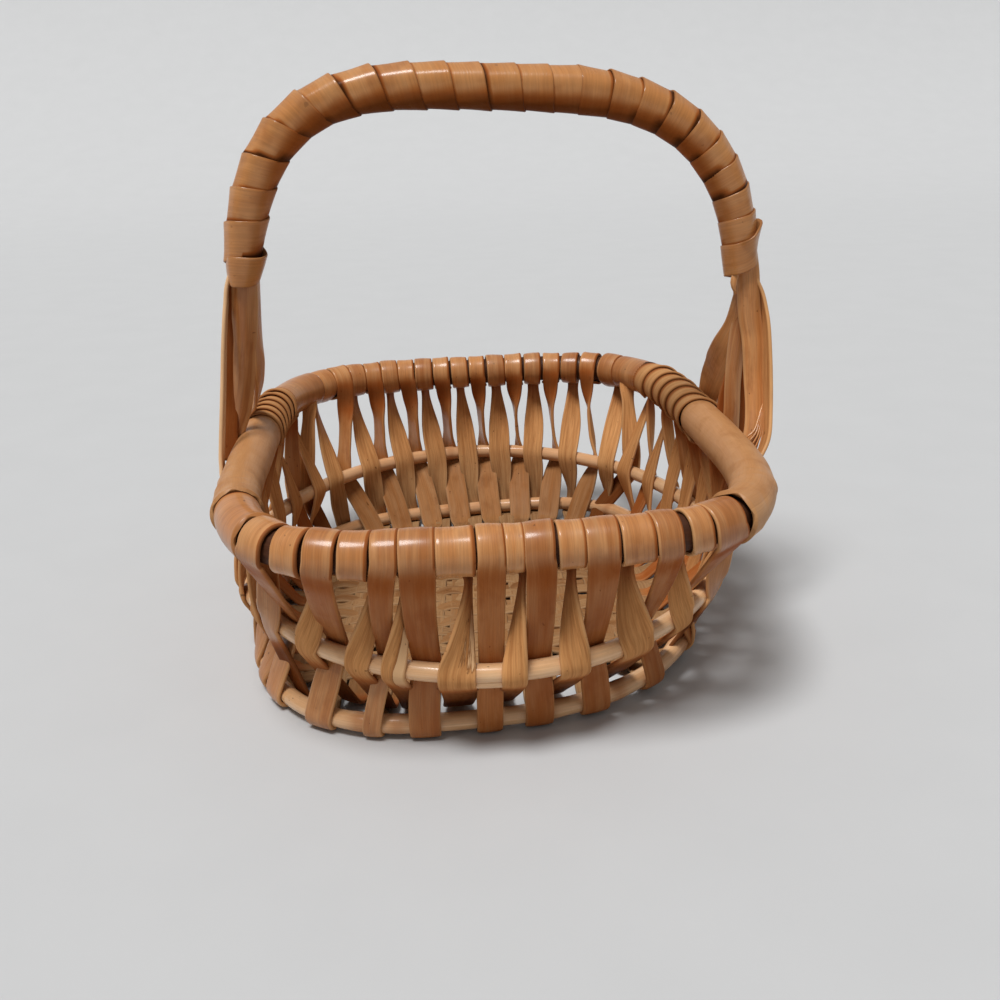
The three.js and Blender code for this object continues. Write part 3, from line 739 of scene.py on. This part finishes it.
# The leaves all narrow to an edge in the photo, so they turn further towards the right: degrees for each mm
LEAF_OVER = 0.33
LEAF_OVER_FROM = -13.6
# Left of here the outer strips lose some of their painted shade below the middle hoop
FOOT_PALE_FROM = -14.0
FOOT_PALE_OVER = 14
OUTER_HOOK = 252
INNER_HOOK = -118


def front_wall(place, is_outer):
    if is_outer:
        at_rim, rim_width, at_base, base_width = FRONT_OUTER[place]
        at_middle = at_base + (at_rim - at_base) * 0.45
        mean = 0.5 * (rim_width + base_width)
        turned = rng.uniform(-5, 5)
        profile = [
            (BASE.height, base_width, 0, 0), (LOW, base_width, rng.uniform(-6, 6), 0),
            (MIDDLE.height, 0.92 * mean, 0, 0), (26, 0.96 * mean, turned, 0), (RIM_FOOT, rim_width, 0, 0)]
        hook = OUTER_HOOK
    else:
        at_rim, rim_width, at_middle, width, way, lean = FRONT_INNER[place]
        at_base = at_middle * 0.97
        profile = leaf(width, way, lean, over=LEAF_OVER * (at_middle - LEAF_OVER_FROM))
        hook = INNER_HOOK if rim_width else None
    lift = rng.uniform(0.05, 0.25) if is_outer else rng.uniform(-0.06, 0.1)
    foot_pale = np.clip((FOOT_PALE_FROM - at_base) / FOOT_PALE_OVER, 0, 1) if is_outer else 0.0
    torn = NOT_TORN if is_outer else FRONT_TORN.get(place, NOT_TORN)
    # Painted shade under the rim on all strips, and along the stakes, more on outer strips than on leaves
    return Wall(
        is_outer, turns_at("front", at_base, at_middle, at_rim), profile, hook, rim_width,
        oblique=rng.uniform(-0.6, 0.6), lift=lift, shade=0.5 if is_outer else 0.8,
        stake_shade=0.28 if is_outer else 0.1, rim_twist=rng.uniform(-4, 4), inset=4.5, foot_pale=foot_pale,
        torn=torn)


# The back wall is seen from inside: its strips lean a little, and turn most between the hoops
BACK_MIDDLE_FAN = 1.09
BACK_RIM_FAN = 1.148
BACK_LEAN = 2.2


def back_wall(index, is_outer):
    at_base = index * LENGTHWISE_PITCH + rng.uniform(-0.4, 0.4)
    at_middle = index * LENGTHWISE_PITCH * BACK_MIDDLE_FAN - 0.4 * BACK_LEAN
    at_rim = index * LENGTHWISE_PITCH * BACK_RIM_FAN - BACK_LEAN * (1 - (index / LENGTHWISE_EACH_SIDE) ** 2)
    turned = rng.uniform(0.85, 1.1)
    width = rng.uniform(5.1, 5.8)
    if is_outer:
        profile = [
            (BASE.height, 4.2, 0, 0), (6.5, 0.8 * width, -45 * turned, 0),
            (10, 0.9 * width, -25 * turned, 0), (14, width, 0, 0), (20, width, 0, 0),
            (25, 0.95 * width, 15 * turned, 0), (30, 0.78 * width, 40 * turned, 0),
            (RIM_FOOT - 1, 0.65 * width, 60 * turned, 0), (RIM.height, 4.4, 0, 0)]
    else:
        profile = [
            (BASE.height, 5.6, 0, 0), (LOW, 5.8, 0, 0), (13, width, -15 * turned, 0),
            (MIDDLE.height, 0.9 * width, -45 * turned, 0), (22, 0.8 * width, -80 * turned, 0),
            (30, 0.8 * width, -75 * turned, 0), (RIM_FOOT - 1, 4.4, -30 * turned, 0),
            (RIM.height, 4.4, 0, 0)]
    hook = OUTER_HOOK if is_outer else INNER_HOOK
    # Painted shade under the rim, and painted shade inside the basket on the lower wall
    return Wall(
        is_outer, turns_at("back", at_base, at_middle, at_rim), profile, hook,
        rim_width=rng.uniform(4.3, 4.9), oblique=rng.uniform(-0.6, 0.6), lift=rng.uniform(-0.1, 0.2),
        shade=0.6 if is_outer else 0.7, stake_shade=0.0 if is_outer else 0.1, rim_twist=rng.uniform(-4, 4),
        inset=2.0, recess_shade=0.1, dull=0.75)


for index in range(-LENGTHWISE_EACH_SIDE, LENGTHWISE_EACH_SIDE + 1):
    outer = (LENGTHWISE_EACH_SIDE - index) % 2 == 0
    number = index + LENGTHWISE_EACH_SIDE
    walls = (front_wall(number // 2, outer), back_wall(index, outer))
    strip = woven_strip(index, walls, True, outer)
    title = f"{number + 1:02d}"
    strip.make(f"lengthwise_willow_{title}", STRIP_LOOK, "strip", f"lengthwise_strip_{title}")


# The rim beside the handle is covered by sheaths: strips pressed round it
SIDE_QUARTER = {"right": RIM.length / 4, "left": RIM.length * 3 / 4}
SIDE_SIGN = {"right": 1, "left": -1}
SHEATH_OUTER = 4.35
SHEATH_INNER = 3.45
SHEATH_SIDES = 40


def rim_length(side, forward):
    """The length round the rim of a place forward of the middle of a side."""
    return SIDE_QUARTER[side] - SIDE_SIGN[side] * forward


def rim_frame(length):
    turn = RIM.turn_along(length)
    outward = RIM.outward(turn)
    return RIM.point(turn), outward, np.cross(UP, outward)


def add_sheath(shape, lengths, degrees, grain_around, raised=(-0.3, -0.3), dark=0.0, wrinkles=()):
    """Covers a stretch of the rim between two angles; the grain runs round the rim or along it.

    Raised tells how far the two ends stand off, and dark how much of the start lies in the shadow of what is
    before it. A wrinkle has a place from the end, a height and a slant from the top to the side.
    """
    rows = max(int(abs(lengths[1] - lengths[0]) / FINE_STEP), 8)
    places = np.linspace(*lengths, rows)
    middle, outward, _ = rim_frame(places)
    angles = np.radians(np.linspace(*degrees, SHEATH_SIDES))
    from_start = np.abs(places - places[0])
    from_end = np.abs(places - places[-1])
    outer = SHEATH_OUTER + wander(rows, 0.04, 5)
    for apart, step in ((from_start, raised[0]), (from_end, raised[1])):
        outer = outer + step * np.exp(-apart / (3.0 if step > 0 else 0.4))
    inside = np.maximum(outer - 0.8, SHEATH_INNER)
    outer = np.tile(outer[:, None], SHEATH_SIDES)
    for place, height, slant in wrinkles:
        apart = from_end[:, None] - place - slant * (angles - math.pi / 2)
        outer = outer + height * np.exp(-(apart / 0.7) ** 2) * np.sin(3 * angles + place)
    radial = turned_towards(angles, outward[:, None], UP)
    outer_half = middle[:, None] + outer[..., None] * radial
    inner_half = middle[:, None] + inside[:, None, None] * radial[:, ::-1]
    rings = np.concatenate([outer_half, inner_half], axis=1)
    around = np.concatenate([angles, angles[::-1]]) * SHEATH_OUTER
    lengthwise = (places - places[0])[:, None]
    inner = np.repeat([0.0, 1.0], SHEATH_SIDES)
    if lengths[1] < lengths[0]:
        rings = rings[:, ::-1]
        around = around[::-1]
        inner = inner[::-1]
    if grain_around:
        along = around[None]
        across = 2 * lengthwise / lengthwise[-1] - 1
    else:
        along = lengthwise
        across = around / GRAIN_HALF_WIDTH
    shade = np.clip((dark - from_start) / 0.4, 0, 1)[:, None]
    along = along + rng.uniform(0, GRAIN_LENGTH)
    shape.add_rings(rings, along=along, across=0.9 * across, inner=inner, shade=shade)


# Side walls: their strips end under the sheaths, and the first and last one carry those of the rim's corners
SIDE_MIDDLE_FAN = 1.142
SIDE_RIM_FAN = 1.335
LEFT_COVER_TO = 39.5
LASHING_FROM = {"left": 12.5, "right": 0.5}
LASHING_TO = {"left": 45.0, "right": 49.0}
CORNER_GAP = 0.9
CORNER_DEGREES = (-80, 240)


def side_wall(index, is_outer, side):
    at_base = index * CROSSWISE_PITCH + rng.uniform(-0.3, 0.3)
    at_middle = index * CROSSWISE_PITCH * SIDE_MIDDLE_FAN + rng.uniform(-0.3, 0.3)
    at_rim = index * CROSSWISE_PITCH * SIDE_RIM_FAN + rng.uniform(-0.6, 0.6)
    width = rng.uniform(4.5, 5.1)
    turned = rng.uniform(35, 60) * rng.choice([-1, 1])
    if is_outer:
        profile = [
            (BASE.height, 4.2, 0, 0), (LOW, width, 0.5 * turned, 0), (MIDDLE.height, width, 0, 0),
            (27, 0.95 * width, 0.4 * turned, 0), (RIM_FOOT, 4.4, 0.5 * turned, 0)]
    else:
        profile = leaf(width, rng.choice([-1, 1]), 0, narrow=rng.uniform(0.55, 0.9))
    turns = turns_at(side, at_base, at_middle, at_rim)
    # Painted shade under the rim, along the stake and below the middle hoop
    return Wall(is_outer, turns, profile, shade=0.5, stake_shade=0.1, inset=2.0, recess_shade=0.4)


def wrap_edge(front, side):
    """How far round the rim the outermost wrap of the front or back reaches towards a side."""
    x_sign = SIDE_SIGN[side]
    if front == "front":
        at_rim, width = FRONT_OUTER[0 if side == "left" else -1][:2]
        return RIM.length_at(RIM.turn_at(at_rim, front)) + x_sign * (width / 2 + CORNER_GAP)
    at_rim = x_sign * LENGTHWISE_EACH_SIDE * LENGTHWISE_PITCH * BACK_RIM_FAN
    return RIM.length_at(RIM.turn_at(at_rim, front)) - x_sign * 2.6


def corner_sheaths(shape, front):
    """Sheaths between the sides' coverings and the last wraps: the left one in front, both at the back."""
    if front == "front":
        begin = rim_length("left", LEFT_COVER_TO - 2.0)
        end = wrap_edge("front", "left") % RIM.length
        add_sheath(shape, (begin, end), CORNER_DEGREES, True, raised=(-0.3, 0.45), dark=3.2)
        return
    for side in ("left", "right"):
        begin = rim_length(side, 8.0 - LASHING_TO[side])
        add_sheath(shape, (begin, wrap_edge(front, side)), CORNER_DEGREES, True)


for index in range(-CROSSWISE_EACH_SIDE, CROSSWISE_EACH_SIDE + 1):
    outer = (CROSSWISE_EACH_SIDE - index) % 2 == 0
    number = index + CROSSWISE_EACH_SIDE + 1
    walls = (side_wall(index, outer, "left"), side_wall(index, outer, "right"))
    strip = woven_strip(index, walls, False, outer)
    if abs(index) == CROSSWISE_EACH_SIDE:
        corner_sheaths(strip, "front" if index < 0 else "back")
    strip.make(f"crosswise_willow_{number:02d}", STRIP_LOOK, "strip", f"crosswise_strip_{number:02d}")


# Corners: a short strip from the base hoop to under the rim, so far aside at each hoop
CORNER_ASIDES = (37.5, 41.2, 44.0)


def corner_strip(front, side):
    x_sign = SIDE_SIGN[side]
    shape = Shape()
    turns = [hoop.turn_at(x_sign * aside + hoop.aside, front) for hoop, aside in zip(HOOPS, CORNER_ASIDES)]
    way = x_sign if front == "front" else -x_sign
    wall = Wall(False, turns, leaf(5.4, way, 0, narrow=0.8))
    line, across, twist, width, shade = resampled(
        STRIP_STEP, wall.line, wall.level, wall.twist, wall.width, wall.shade)
    shape.add_ribbon(
        smoothed(line, LINE_SOFTNESS), smoothed(across, TURN_SOFTNESS), smoothed(width, TURN_SOFTNESS),
        twist=smoothed(-twist, TURN_SOFTNESS), shade=shade, flipped=True)
    shape.make(f"{front}_{side}_corner_willow", STRIP_LOOK, "strip", f"{front}_{side}_corner_strip")


for front in ("front", "back"):
    for side in ("left", "right"):
        corner_strip(front, side)


# The rim beside the handle: a long smooth cover in front of each leg, tight turns behind it
COVER_FROM = {"left": -15.0, "right": -6.5}
COVER_WRINKLES = {
    "left": ((5.5, 0.22, 1.5), (9.0, -0.2, 0.8), (13.5, 0.16, -1.2)),
    "right": ((6.0, -0.16, 1.2), (13.0, 0.24, -1.0), (16.0, -0.22, 0.6), (21.0, 0.14, 1.4)),
}
COVER_DEGREES = (-70, 250)
LASHING_TURNS = 6
LASHING_STEPS = 40
LASHING_RADIUS = 4.4
LASHING_WIDTH = {"left": 6.0, "right": 8.2}
LASHING_TILT = {"left": 8, "right": 4.5}


def rim_cover(side):
    """A broad strip laid along the rim and pressed round it; its front end stands off a little."""
    shape = Shape(tone=0.0)
    end = rim_length(side, LEFT_COVER_TO) if side == "left" else wrap_edge("front", side)
    lengths = (rim_length(side, COVER_FROM[side]), end)
    add_sheath(shape, lengths, COVER_DEGREES, False, raised=(-0.3, 0.6), wrinkles=COVER_WRINKLES[side])
    shape.make(f"{side}_rim_cover_willow", COVER_LOOK, "wrap", f"{side}_rim_cover")


def rim_lashing(side):
    """Narrow turns, each with its front edge raised over the one before it."""
    shape = Shape(tone=0.2)
    width = LASHING_WIDTH[side]
    count = LASHING_TURNS * LASHING_STEPS + 1
    turned = np.linspace(0, LASHING_TURNS, count)
    backward = SIDE_SIGN[side]
    pitch = (LASHING_TO[side] - LASHING_FROM[side] - width) / LASHING_TURNS
    lengths = rim_length(side, -(LASHING_FROM[side] + width / 2 + pitch * turned))
    middle, outward, along_rim = rim_frame(lengths)
    radial = turned_towards(2 * math.pi * turned * backward + 1.2 * math.pi, outward, UP)
    radius = LASHING_RADIUS + wander(count, 0.04, 12)
    tilt = np.radians(LASHING_TILT[side] + wander(count, 2.5, 18))
    line = middle + radial * radius[:, None]
    across = turned_towards(tilt, -backward * along_rim, radial)
    width = width + wander(count, 0.2, 15)
    # Painted shade on each turn where the next one lies over it
    shape.add_ribbon(line, -across, width, thickness=0.6, tucked=-1.0, tuck_from=0.45)
    shape.make(f"{side}_rim_lashing_willow", COVER_LOOK, "wrap", f"{side}_rim_lashing")


for side in ("left", "right"):
    rim_cover(side)
    rim_lashing(side)


# The handle: a leaning arch wound with overlapping turns of broad strip
HANDLE_FOOT = RIM.height + RIM.radius + 0.3
ARCH_STEPS = 1200


def arch_line():
    turn = math.pi * (1 - np.linspace(0, 1, ARCH_STEPS + 1))
    side = signed_power(np.cos(turn), 2 / HANDLE_SQUARENESS)
    rise = signed_power(np.abs(np.sin(turn)), 2 / HANDLE_SQUARENESS)
    opened = 1 - (1 - rise) ** 2
    half_span = RIM.half[0] + (HANDLE_HALF_SPAN - RIM.half[0]) * opened
    height = HANDLE_FOOT + (RIM.height + HANDLE_RISE - HANDLE_FOOT) * rise - HANDLE_SLANT * side * rise
    out = half_span * side + HANDLE_LEAN * opened + HANDLE_BULGE * np.clip(side, 0, 1) ** 6
    line = np.stack([out, np.zeros_like(side), height], axis=-1)
    return resampled(FINE_STEP, line)[0]


ARCH = arch_line()
ARCH_LENGTHS = lengths_of(ARCH)
ARCH_RUN = unit(smoothed(np.gradient(ARCH, axis=0), 4))
ARCH_BEND = np.linalg.norm(np.gradient(ARCH_RUN, axis=0), axis=1) / np.gradient(ARCH_LENGTHS)


def arch_frame(length):
    run = unit(interpolated(length, ARCH_LENGTHS, ARCH_RUN))
    return interpolated(length, ARCH_LENGTHS, ARCH), run, np.cross(run, -FORWARD)


WRAP_TURNS = 24
WRAP_STEPS = 48
WRAP_OVERLAP = 1.2
WRAP_END_WIDTH = 6.4
WRAP_TILT = 4.6
BARE_LEFT = 32.0
BARE_RIGHT = 28.2
# At turns from the left foot: how fast the winding moves on, which edge of it lies on top, and its radius
WRAP_PACE = (
    (0, 0.3), (0.6, 0.9), (1, 1.0), (7, 1.05), (13, 1.0), (16, 0.9), (19, 0.78), (22, 0.85), (23, 0.75),
    (24, 0.3))
WRAP_LEAN = (
    (0, 1.7), (1.2, 1.0), (5, 0.8), (8, 0.5), (13.2, 0.5), (13.8, -0.5), (16, -0.8), (22.8, -1.0),
    (24, -1.7))
WRAP_RADII = (
    (0, 3.5), (1, 3.65), (4, 3.85), (8, 3.95), (12.5, 4.0), (15, 4.15), (17.5, 4.0), (19.5, 3.9), (21, 3.55),
    (24, 3.35))
# Places where the edge on top stands off: at which turn, over how many turns, by how many degrees, and how
# far the turn slips
WRAP_FLARES = ((0.42, 0.12, 12, 0.0), (23.0, 0.16, 12, -3.0))


def handle_wrap():
    shape = Shape(tone=0.25)
    count = WRAP_TURNS * WRAP_STEPS + 1
    turned = np.linspace(0, WRAP_TURNS, count)
    covered = np.cumsum(np.interp(turned, *zip(*WRAP_PACE)))
    covered = (covered - covered[0]) / (covered[-1] - covered[0])
    begin = BARE_LEFT + WRAP_END_WIDTH / 2
    lengths = begin + (ARCH_LENGTHS[-1] - BARE_RIGHT - WRAP_END_WIDTH / 2 - begin) * covered
    pitch = np.gradient(lengths, turned)
    width = np.maximum(WRAP_OVERLAP * pitch, WRAP_END_WIDTH) + wander(count, 0.15, 30)
    # The turns lie squarer across the front than behind
    square = np.interp(turned, [0, 9, 14, WRAP_TURNS], [0.55, 0.2, 0.75, 0.6])
    around = 2 * math.pi * turned
    lengths = lengths - np.gradient(lengths, turned) * square * np.sin(around - math.pi / 2) / (2 * math.pi)
    lengths = lengths + wander(count, 0.25, 20)
    flare = np.zeros(count)
    for turn, spread, degrees, slip in WRAP_FLARES:
        there = np.exp(-((turned - turn) / spread) ** 2)
        flare += degrees * there
        lengths = lengths + slip * there
    middle, run, outward = arch_frame(lengths)
    radial = turned_towards(around, outward, FORWARD)
    lean = np.interp(turned, *zip(*WRAP_LEAN))
    tilt = np.radians(WRAP_TILT * lean + np.sign(lean) * flare + wander(count, 0.6, 26))
    facets = 0.024 * np.cos(6 * around + wander(count, 0.3, 90))
    radius = np.interp(turned, *zip(*WRAP_RADII)) * (1 + facets)
    radius = radius + wander(count, 0.03, 20) + 0.35 * width * np.sin(np.radians(flare))
    # The two ends of the strip are pushed in under it
    from_end = np.minimum(turned, WRAP_TURNS - turned)
    radius = radius - 0.7 * np.clip(1 - from_end / 0.2, 0, 1)
    width = width * np.interp(from_end, [0, 0.15], [0.6, 1])
    # Painted shade on the underside of the arch
    below = 0.75 * np.clip(0.05 - 1.3 * np.cos(around), 0, 1) * np.clip(outward[:, 2], 0, 1)
    line = middle + radial * radius[:, None]
    across = turned_towards(tilt, run, radial)
    # Painted shade on the edge of each turn that lies under the next, but not at the two ends
    is_end = (turned < 1.25) | (turned > WRAP_TURNS - 1.25)
    tucked = np.where(is_end, 0, np.sign(lean))
    # Round a bend the turns lie further apart outside than inside, so more of each one is seen
    bend = np.interp(lengths, ARCH_LENGTHS, ARCH_BEND)
    # The painted seam shade begins just short of where the next turn covers it
    seen = 2 * pitch * (1 + radius * bend * np.cos(around)) / width - 1
    shape.add_ribbon(line, across, width, thickness=0.5, crown=0.08, shade=below, tucked=0.9 * tucked,
                     tuck_from=np.clip(seen - 0.16, 0.2, 0.9))
    shape.make("handle_wrap_willow", WRAP_LOOK, "wrap", "handle_wrap")


handle_wrap()

core = Shape(tone=0.75)
wrapped = (ARCH_LENGTHS > BARE_LEFT + 2) & (ARCH_LENGTHS < ARCH_LENGTHS[-1] - BARE_RIGHT - 2)
core.add_rod(ARCH[wrapped][::3], 2.7)


# The legs below the winding: the core is split into flat splints that fork over the outside of the rim
def splint(shape, points, facing, widths, twists=(0, 0), thickness=0.9, crown=0.15, shade=0.0):
    """A flat piece through chosen points; facing is the way that its face looks at each point."""
    line = through(points)
    count = len(line)
    across = np.cross(spread_values(facing, count), unit(np.gradient(line, axis=0)))
    shape.add_ribbon(
        line, across, spread_values(widths, count), spread_values(np.broadcast_to(thickness, 2), count),
        spread_values(twists, count), crown, shade)


LEFT_OUT = (-1, 0, 0)
RIGHT_OUT = (1, 0, 0)
TO_FRONT = (0, -1, 0)

# Left leg: a rounded brown face to the front that turns outward against the rim, and a dark piece painted as
# the shade of its outer side
splint(
    core,
    [(-47.4, 0, 82), (-48.2, 0, 74), (-48.7, 0.3, 70), (-49.4, 0.8, 65.1), (-50.7, 1.5, 57.5),
     (-52.2, 2.5, 50), (-54.2, 3.5, 43.5), (-55.0, 4.2, 37), (-51.0, 4.8, 30.5)],
    [TO_FRONT, TO_FRONT, TO_FRONT, (-0.1, -1, 0), (-0.2, -1, 0), (-0.4, -1, 0), (-0.8, -0.8, 0),
     (-1, -0.4, 0), (-1, -0.4, -0.4)],
    [5.4, 5.6, 5.6, 5.6, 5.6, 5.4, 5.0, 4.0], thickness=(2.2, 1.0), crown=1.0)
splint(
    core,
    [(-49.8, 0.2, 78), (-50.9, 0.2, 72), (-51.8, 0.6, 66), (-53.0, 1.2, 58), (-54.1, 1.6, 50),
     (-55.1, 0.8, 44), (-55.6, 0.2, 38)],
    [TO_FRONT], [2.4, 2.6, 3.2, 3.4, 3.8, 4.4], shade=0.6)
# Right leg: a strip that crosses down behind the leg's face, with a deep fold beside it: a piece painted in
# shade
splint(
    core,
    [(56.2, 0, 82), (57.2, 0.4, 75), (58.0, 1.4, 70), (58.0, 1.6, 64.7), (56.9, 1.2, 59), (56.2, 0.8, 53),
     (55.8, 0.2, 48), (55.6, -0.4, 42), (54.9, -0.6, 36), (50.8, -0.8, 30)],
    [(-0.4, -1, 0)], [5.0, 5.2, 4.8, 4.2, 3.8, 3.6, 3.6, 3.8, 3.6], thickness=(2.2, 1.0), crown=0.7)
splint(
    core,
    [(58.4, 0.6, 67), (59.0, 0.9, 60.5), (58.2, 1.1, 53.8), (57.4, 1.3, 46.9), (56.0, 1.0, 38.9),
     (51.6, 1.0, 31)],
    [TO_FRONT], [3.4, 5.0, 7.0, 8.6, 8.0, 6.0], shade=0.5)
core.make("handle_core_rod", STRIP_LOOK, "core", "handle_core")

left_front = Shape(tone=0.0)
splint(
    left_front,
    [(-50.2, -0.5, 79), (-51.5, -0.9, 75.5), (-52.1, -1.3, 72), (-52.5, -2, 69.4), (-53.2, -3, 64),
     (-53.8, -4.5, 58), (-54.4, -7, 51.1), (-55.0, -9.4, 44.5), (-55.2, -11, 40.5), (-54.7, -12.6, 36),
     (-50.6, -14.2, 30)],
    [LEFT_OUT], [2.4, 2.8, 3.2, 3.4, 3.4, 3.0], thickness=0.8)
left_front.make("left_front_splint_willow", PALE_LOOK, "strip", "left_front_splint")
left_back = Shape(tone=0.2)
splint(
    left_back,
    [(-45.8, 1.0, 78), (-46.3, 1.2, 72), (-47.0, 2, 64), (-47.5, 3.5, 57), (-48.9, 8.5, 51), (-51.6, 15, 46),
     (-53.4, 18.6, 40.5), (-51.6, 20.5, 38)],
    [(1, -0.3, 0), (1, -0.3, 0), (0.8, -0.5, 0.2), (0.5, -0.5, 0.5)], [3.4, 3.8, 4.8, 5.6, 4.8, 2.0])
left_back.make("left_back_splint_willow", STRIP_LOOK, "strip", "left_back_splint")

right_front = Shape(tone=0.1)
splint(
    right_front,
    [(56.8, 0.2, 80), (57.9, 0, 76.5), (59.4, -0.5, 72.5), (60.8, -1.4, 69), (61.4, -2.4, 65.5),
     (61.6, -3.8, 61.5), (61.4, -6, 54.7), (60.6, -10, 45.2), (59.3, -13.6, 39.5), (56.4, -16, 35.5),
     (50.8, -18, 30)],
    [RIGHT_OUT], [1.6, 2.2, 3.8, 4.6, 4.6, 4.4, 3.4], [0, -2, -6, -6, 0], thickness=0.8)
splint(
    right_front,
    [(57.2, -0.2, 80), (58.0, -0.5, 74), (58.2, -0.9, 69.9), (58.5, -1.3, 64.8), (59.1, -1.8, 60.5),
     (59.2, -2.6, 57.4), (59.0, -4.4, 51.4), (58.6, -7.2, 45.5), (57.5, -10, 40.5), (55.4, -12, 35.5),
     (50.8, -13.6, 30)],
    [(-0.1, -1, 0), (-0.2, -1, 0)], [4.6, 5.0, 5.0, 4.4, 4.0, 3.6, 3.2], thickness=(1.6, 0.9), crown=0.7,
    shade=0.06)
# Loose fibres that fan out at the foot of the right leg
FIBRES = 6
for share in np.linspace(0, 1, FIBRES):
    foot = np.array([55.4, -12.4, 40.0]) + share * np.array([3.0, -0.6, -4.4])
    bow = np.array([59.6, -9.9, 42.6]) * 0.55 + foot * 0.45 + np.array([0.5 * share, -0.4, 0.3])
    splint(right_front, [(60.4, -7.4, 46.2), bow, foot], [TO_FRONT], [0.3, 0.55, 0.3], thickness=(0.3, 0.25),
           crown=0.05)
right_front.make("right_front_splint_willow", STRIP_LOOK, "strip", "right_front_splint")
right_back = Shape(tone=0.1)
splint(
    right_back,
    [(57.4, 0.8, 69), (56.5, 1.5, 61.6), (55.0, 4, 55.8), (54.6, 9, 50), (54.8, 14.6, 45),
     (55.0, 18.4, 40.5), (54.4, 21, 36), (50.8, 23, 30.5)],
    [(-0.5, -1, 0.1), (-1, -0.5, 0.1), (-1, -0.4, 0.1)], [3.4, 5.2, 7.4, 9.2, 9.4, 7.6, 4.6, 2.6])
# A short loose end under the winding
splint(right_back, [(55.4, -1.6, 74.5), (54.4, -2.6, 71.4), (55.0, -2.4, 69)], [TO_FRONT], [1.2, 1.6, 0.4],
       thickness=(0.5, 0.3))
right_back.make("right_back_splint_willow", STRIP_LOOK, "strip", "right_back_splint")


# Stage: a plain pale floor that curves up behind the basket, and soft light from above
def floor():
    """Sizes of the floor are metres."""
    mesh = bpy.data.meshes.new("floor")
    half_width = 4.0
    front = -3.0
    bend = 1.0
    radius = 1.0
    top = 3.0
    profile = [(front, 0.0)]
    for angle in np.linspace(-math.pi / 2, 0, 25):
        profile.append((bend + radius * math.cos(angle), radius + radius * math.sin(angle)))
    profile.append((bend + radius, top))
    corners = [(x, y, z) for y, z in profile for x in (-half_width, half_width)]
    faces = [(row, row + 1, row + 3, row + 2) for row in range(0, len(corners) - 2, 2)]
    mesh.from_pydata(corners, [], faces)
    mesh.shade_smooth()
    nodes = Nodes("floor_pale")
    grain = nodes.noise(nodes.made("ShaderNodeTexCoord", {}, "Object"), 40.0)
    colour = nodes.mix(grain, (0.50, 0.505, 0.51), (0.53, 0.535, 0.54))
    mesh.materials.append(nodes.finish({"Base Color": colour, "Roughness": 0.7}))
    plane = placed("floor", mesh)


def sun_light(name, towards, strength, degrees):
    """Even light from far away, as soft as a lamp that looks this many degrees wide."""
    light = bpy.data.lights.new(name, "SUN")
    light.energy = strength
    light.angle = math.radians(degrees)
    lamp = placed(name, light)
    away = unit(np.array(towards, dtype=float))
    side = unit(np.cross(UP + 1e-3 * FORWARD, away))
    matrix = np.eye(4)
    matrix[:3, :3] = np.stack([side, np.cross(away, side), away], axis=-1)
    lamp.matrix_world = Matrix(matrix.tolist())


floor()
sun_light("key", (-0.22, -0.25, 0.95), 3.0, 22)

world = bpy.data.worlds.new("studio")
world.use_nodes = True
background = world.node_tree.nodes["Background"]
background.inputs["Color"].default_value = (1.0, 0.985, 0.96, 1.0)
background.inputs["Strength"].default_value = 0.3
bpy.context.scene.world = world
bpy.context.scene.view_settings.view_transform = "Standard"

# Camera at the photo's angle
camera_data = bpy.data.cameras.new("camera")
camera_data.sensor_width = 36.0
camera_data.lens = 39.6
camera_data.clip_start = 0.01
camera = placed("camera", camera_data)
look = np.array([0.06760, 0.93896, -0.33733])
top = np.array([0.06244, 0.33345, 0.94070])
spot = np.array([-13.615, -232.974, 108.65]) * MILLIMETRE
view = np.eye(4)
view[:3] = np.stack([np.cross(look, top), top, -look, spot], axis=-1)
camera.matrix_world = Matrix(view.tolist())
bpy.context.scene.camera = camera
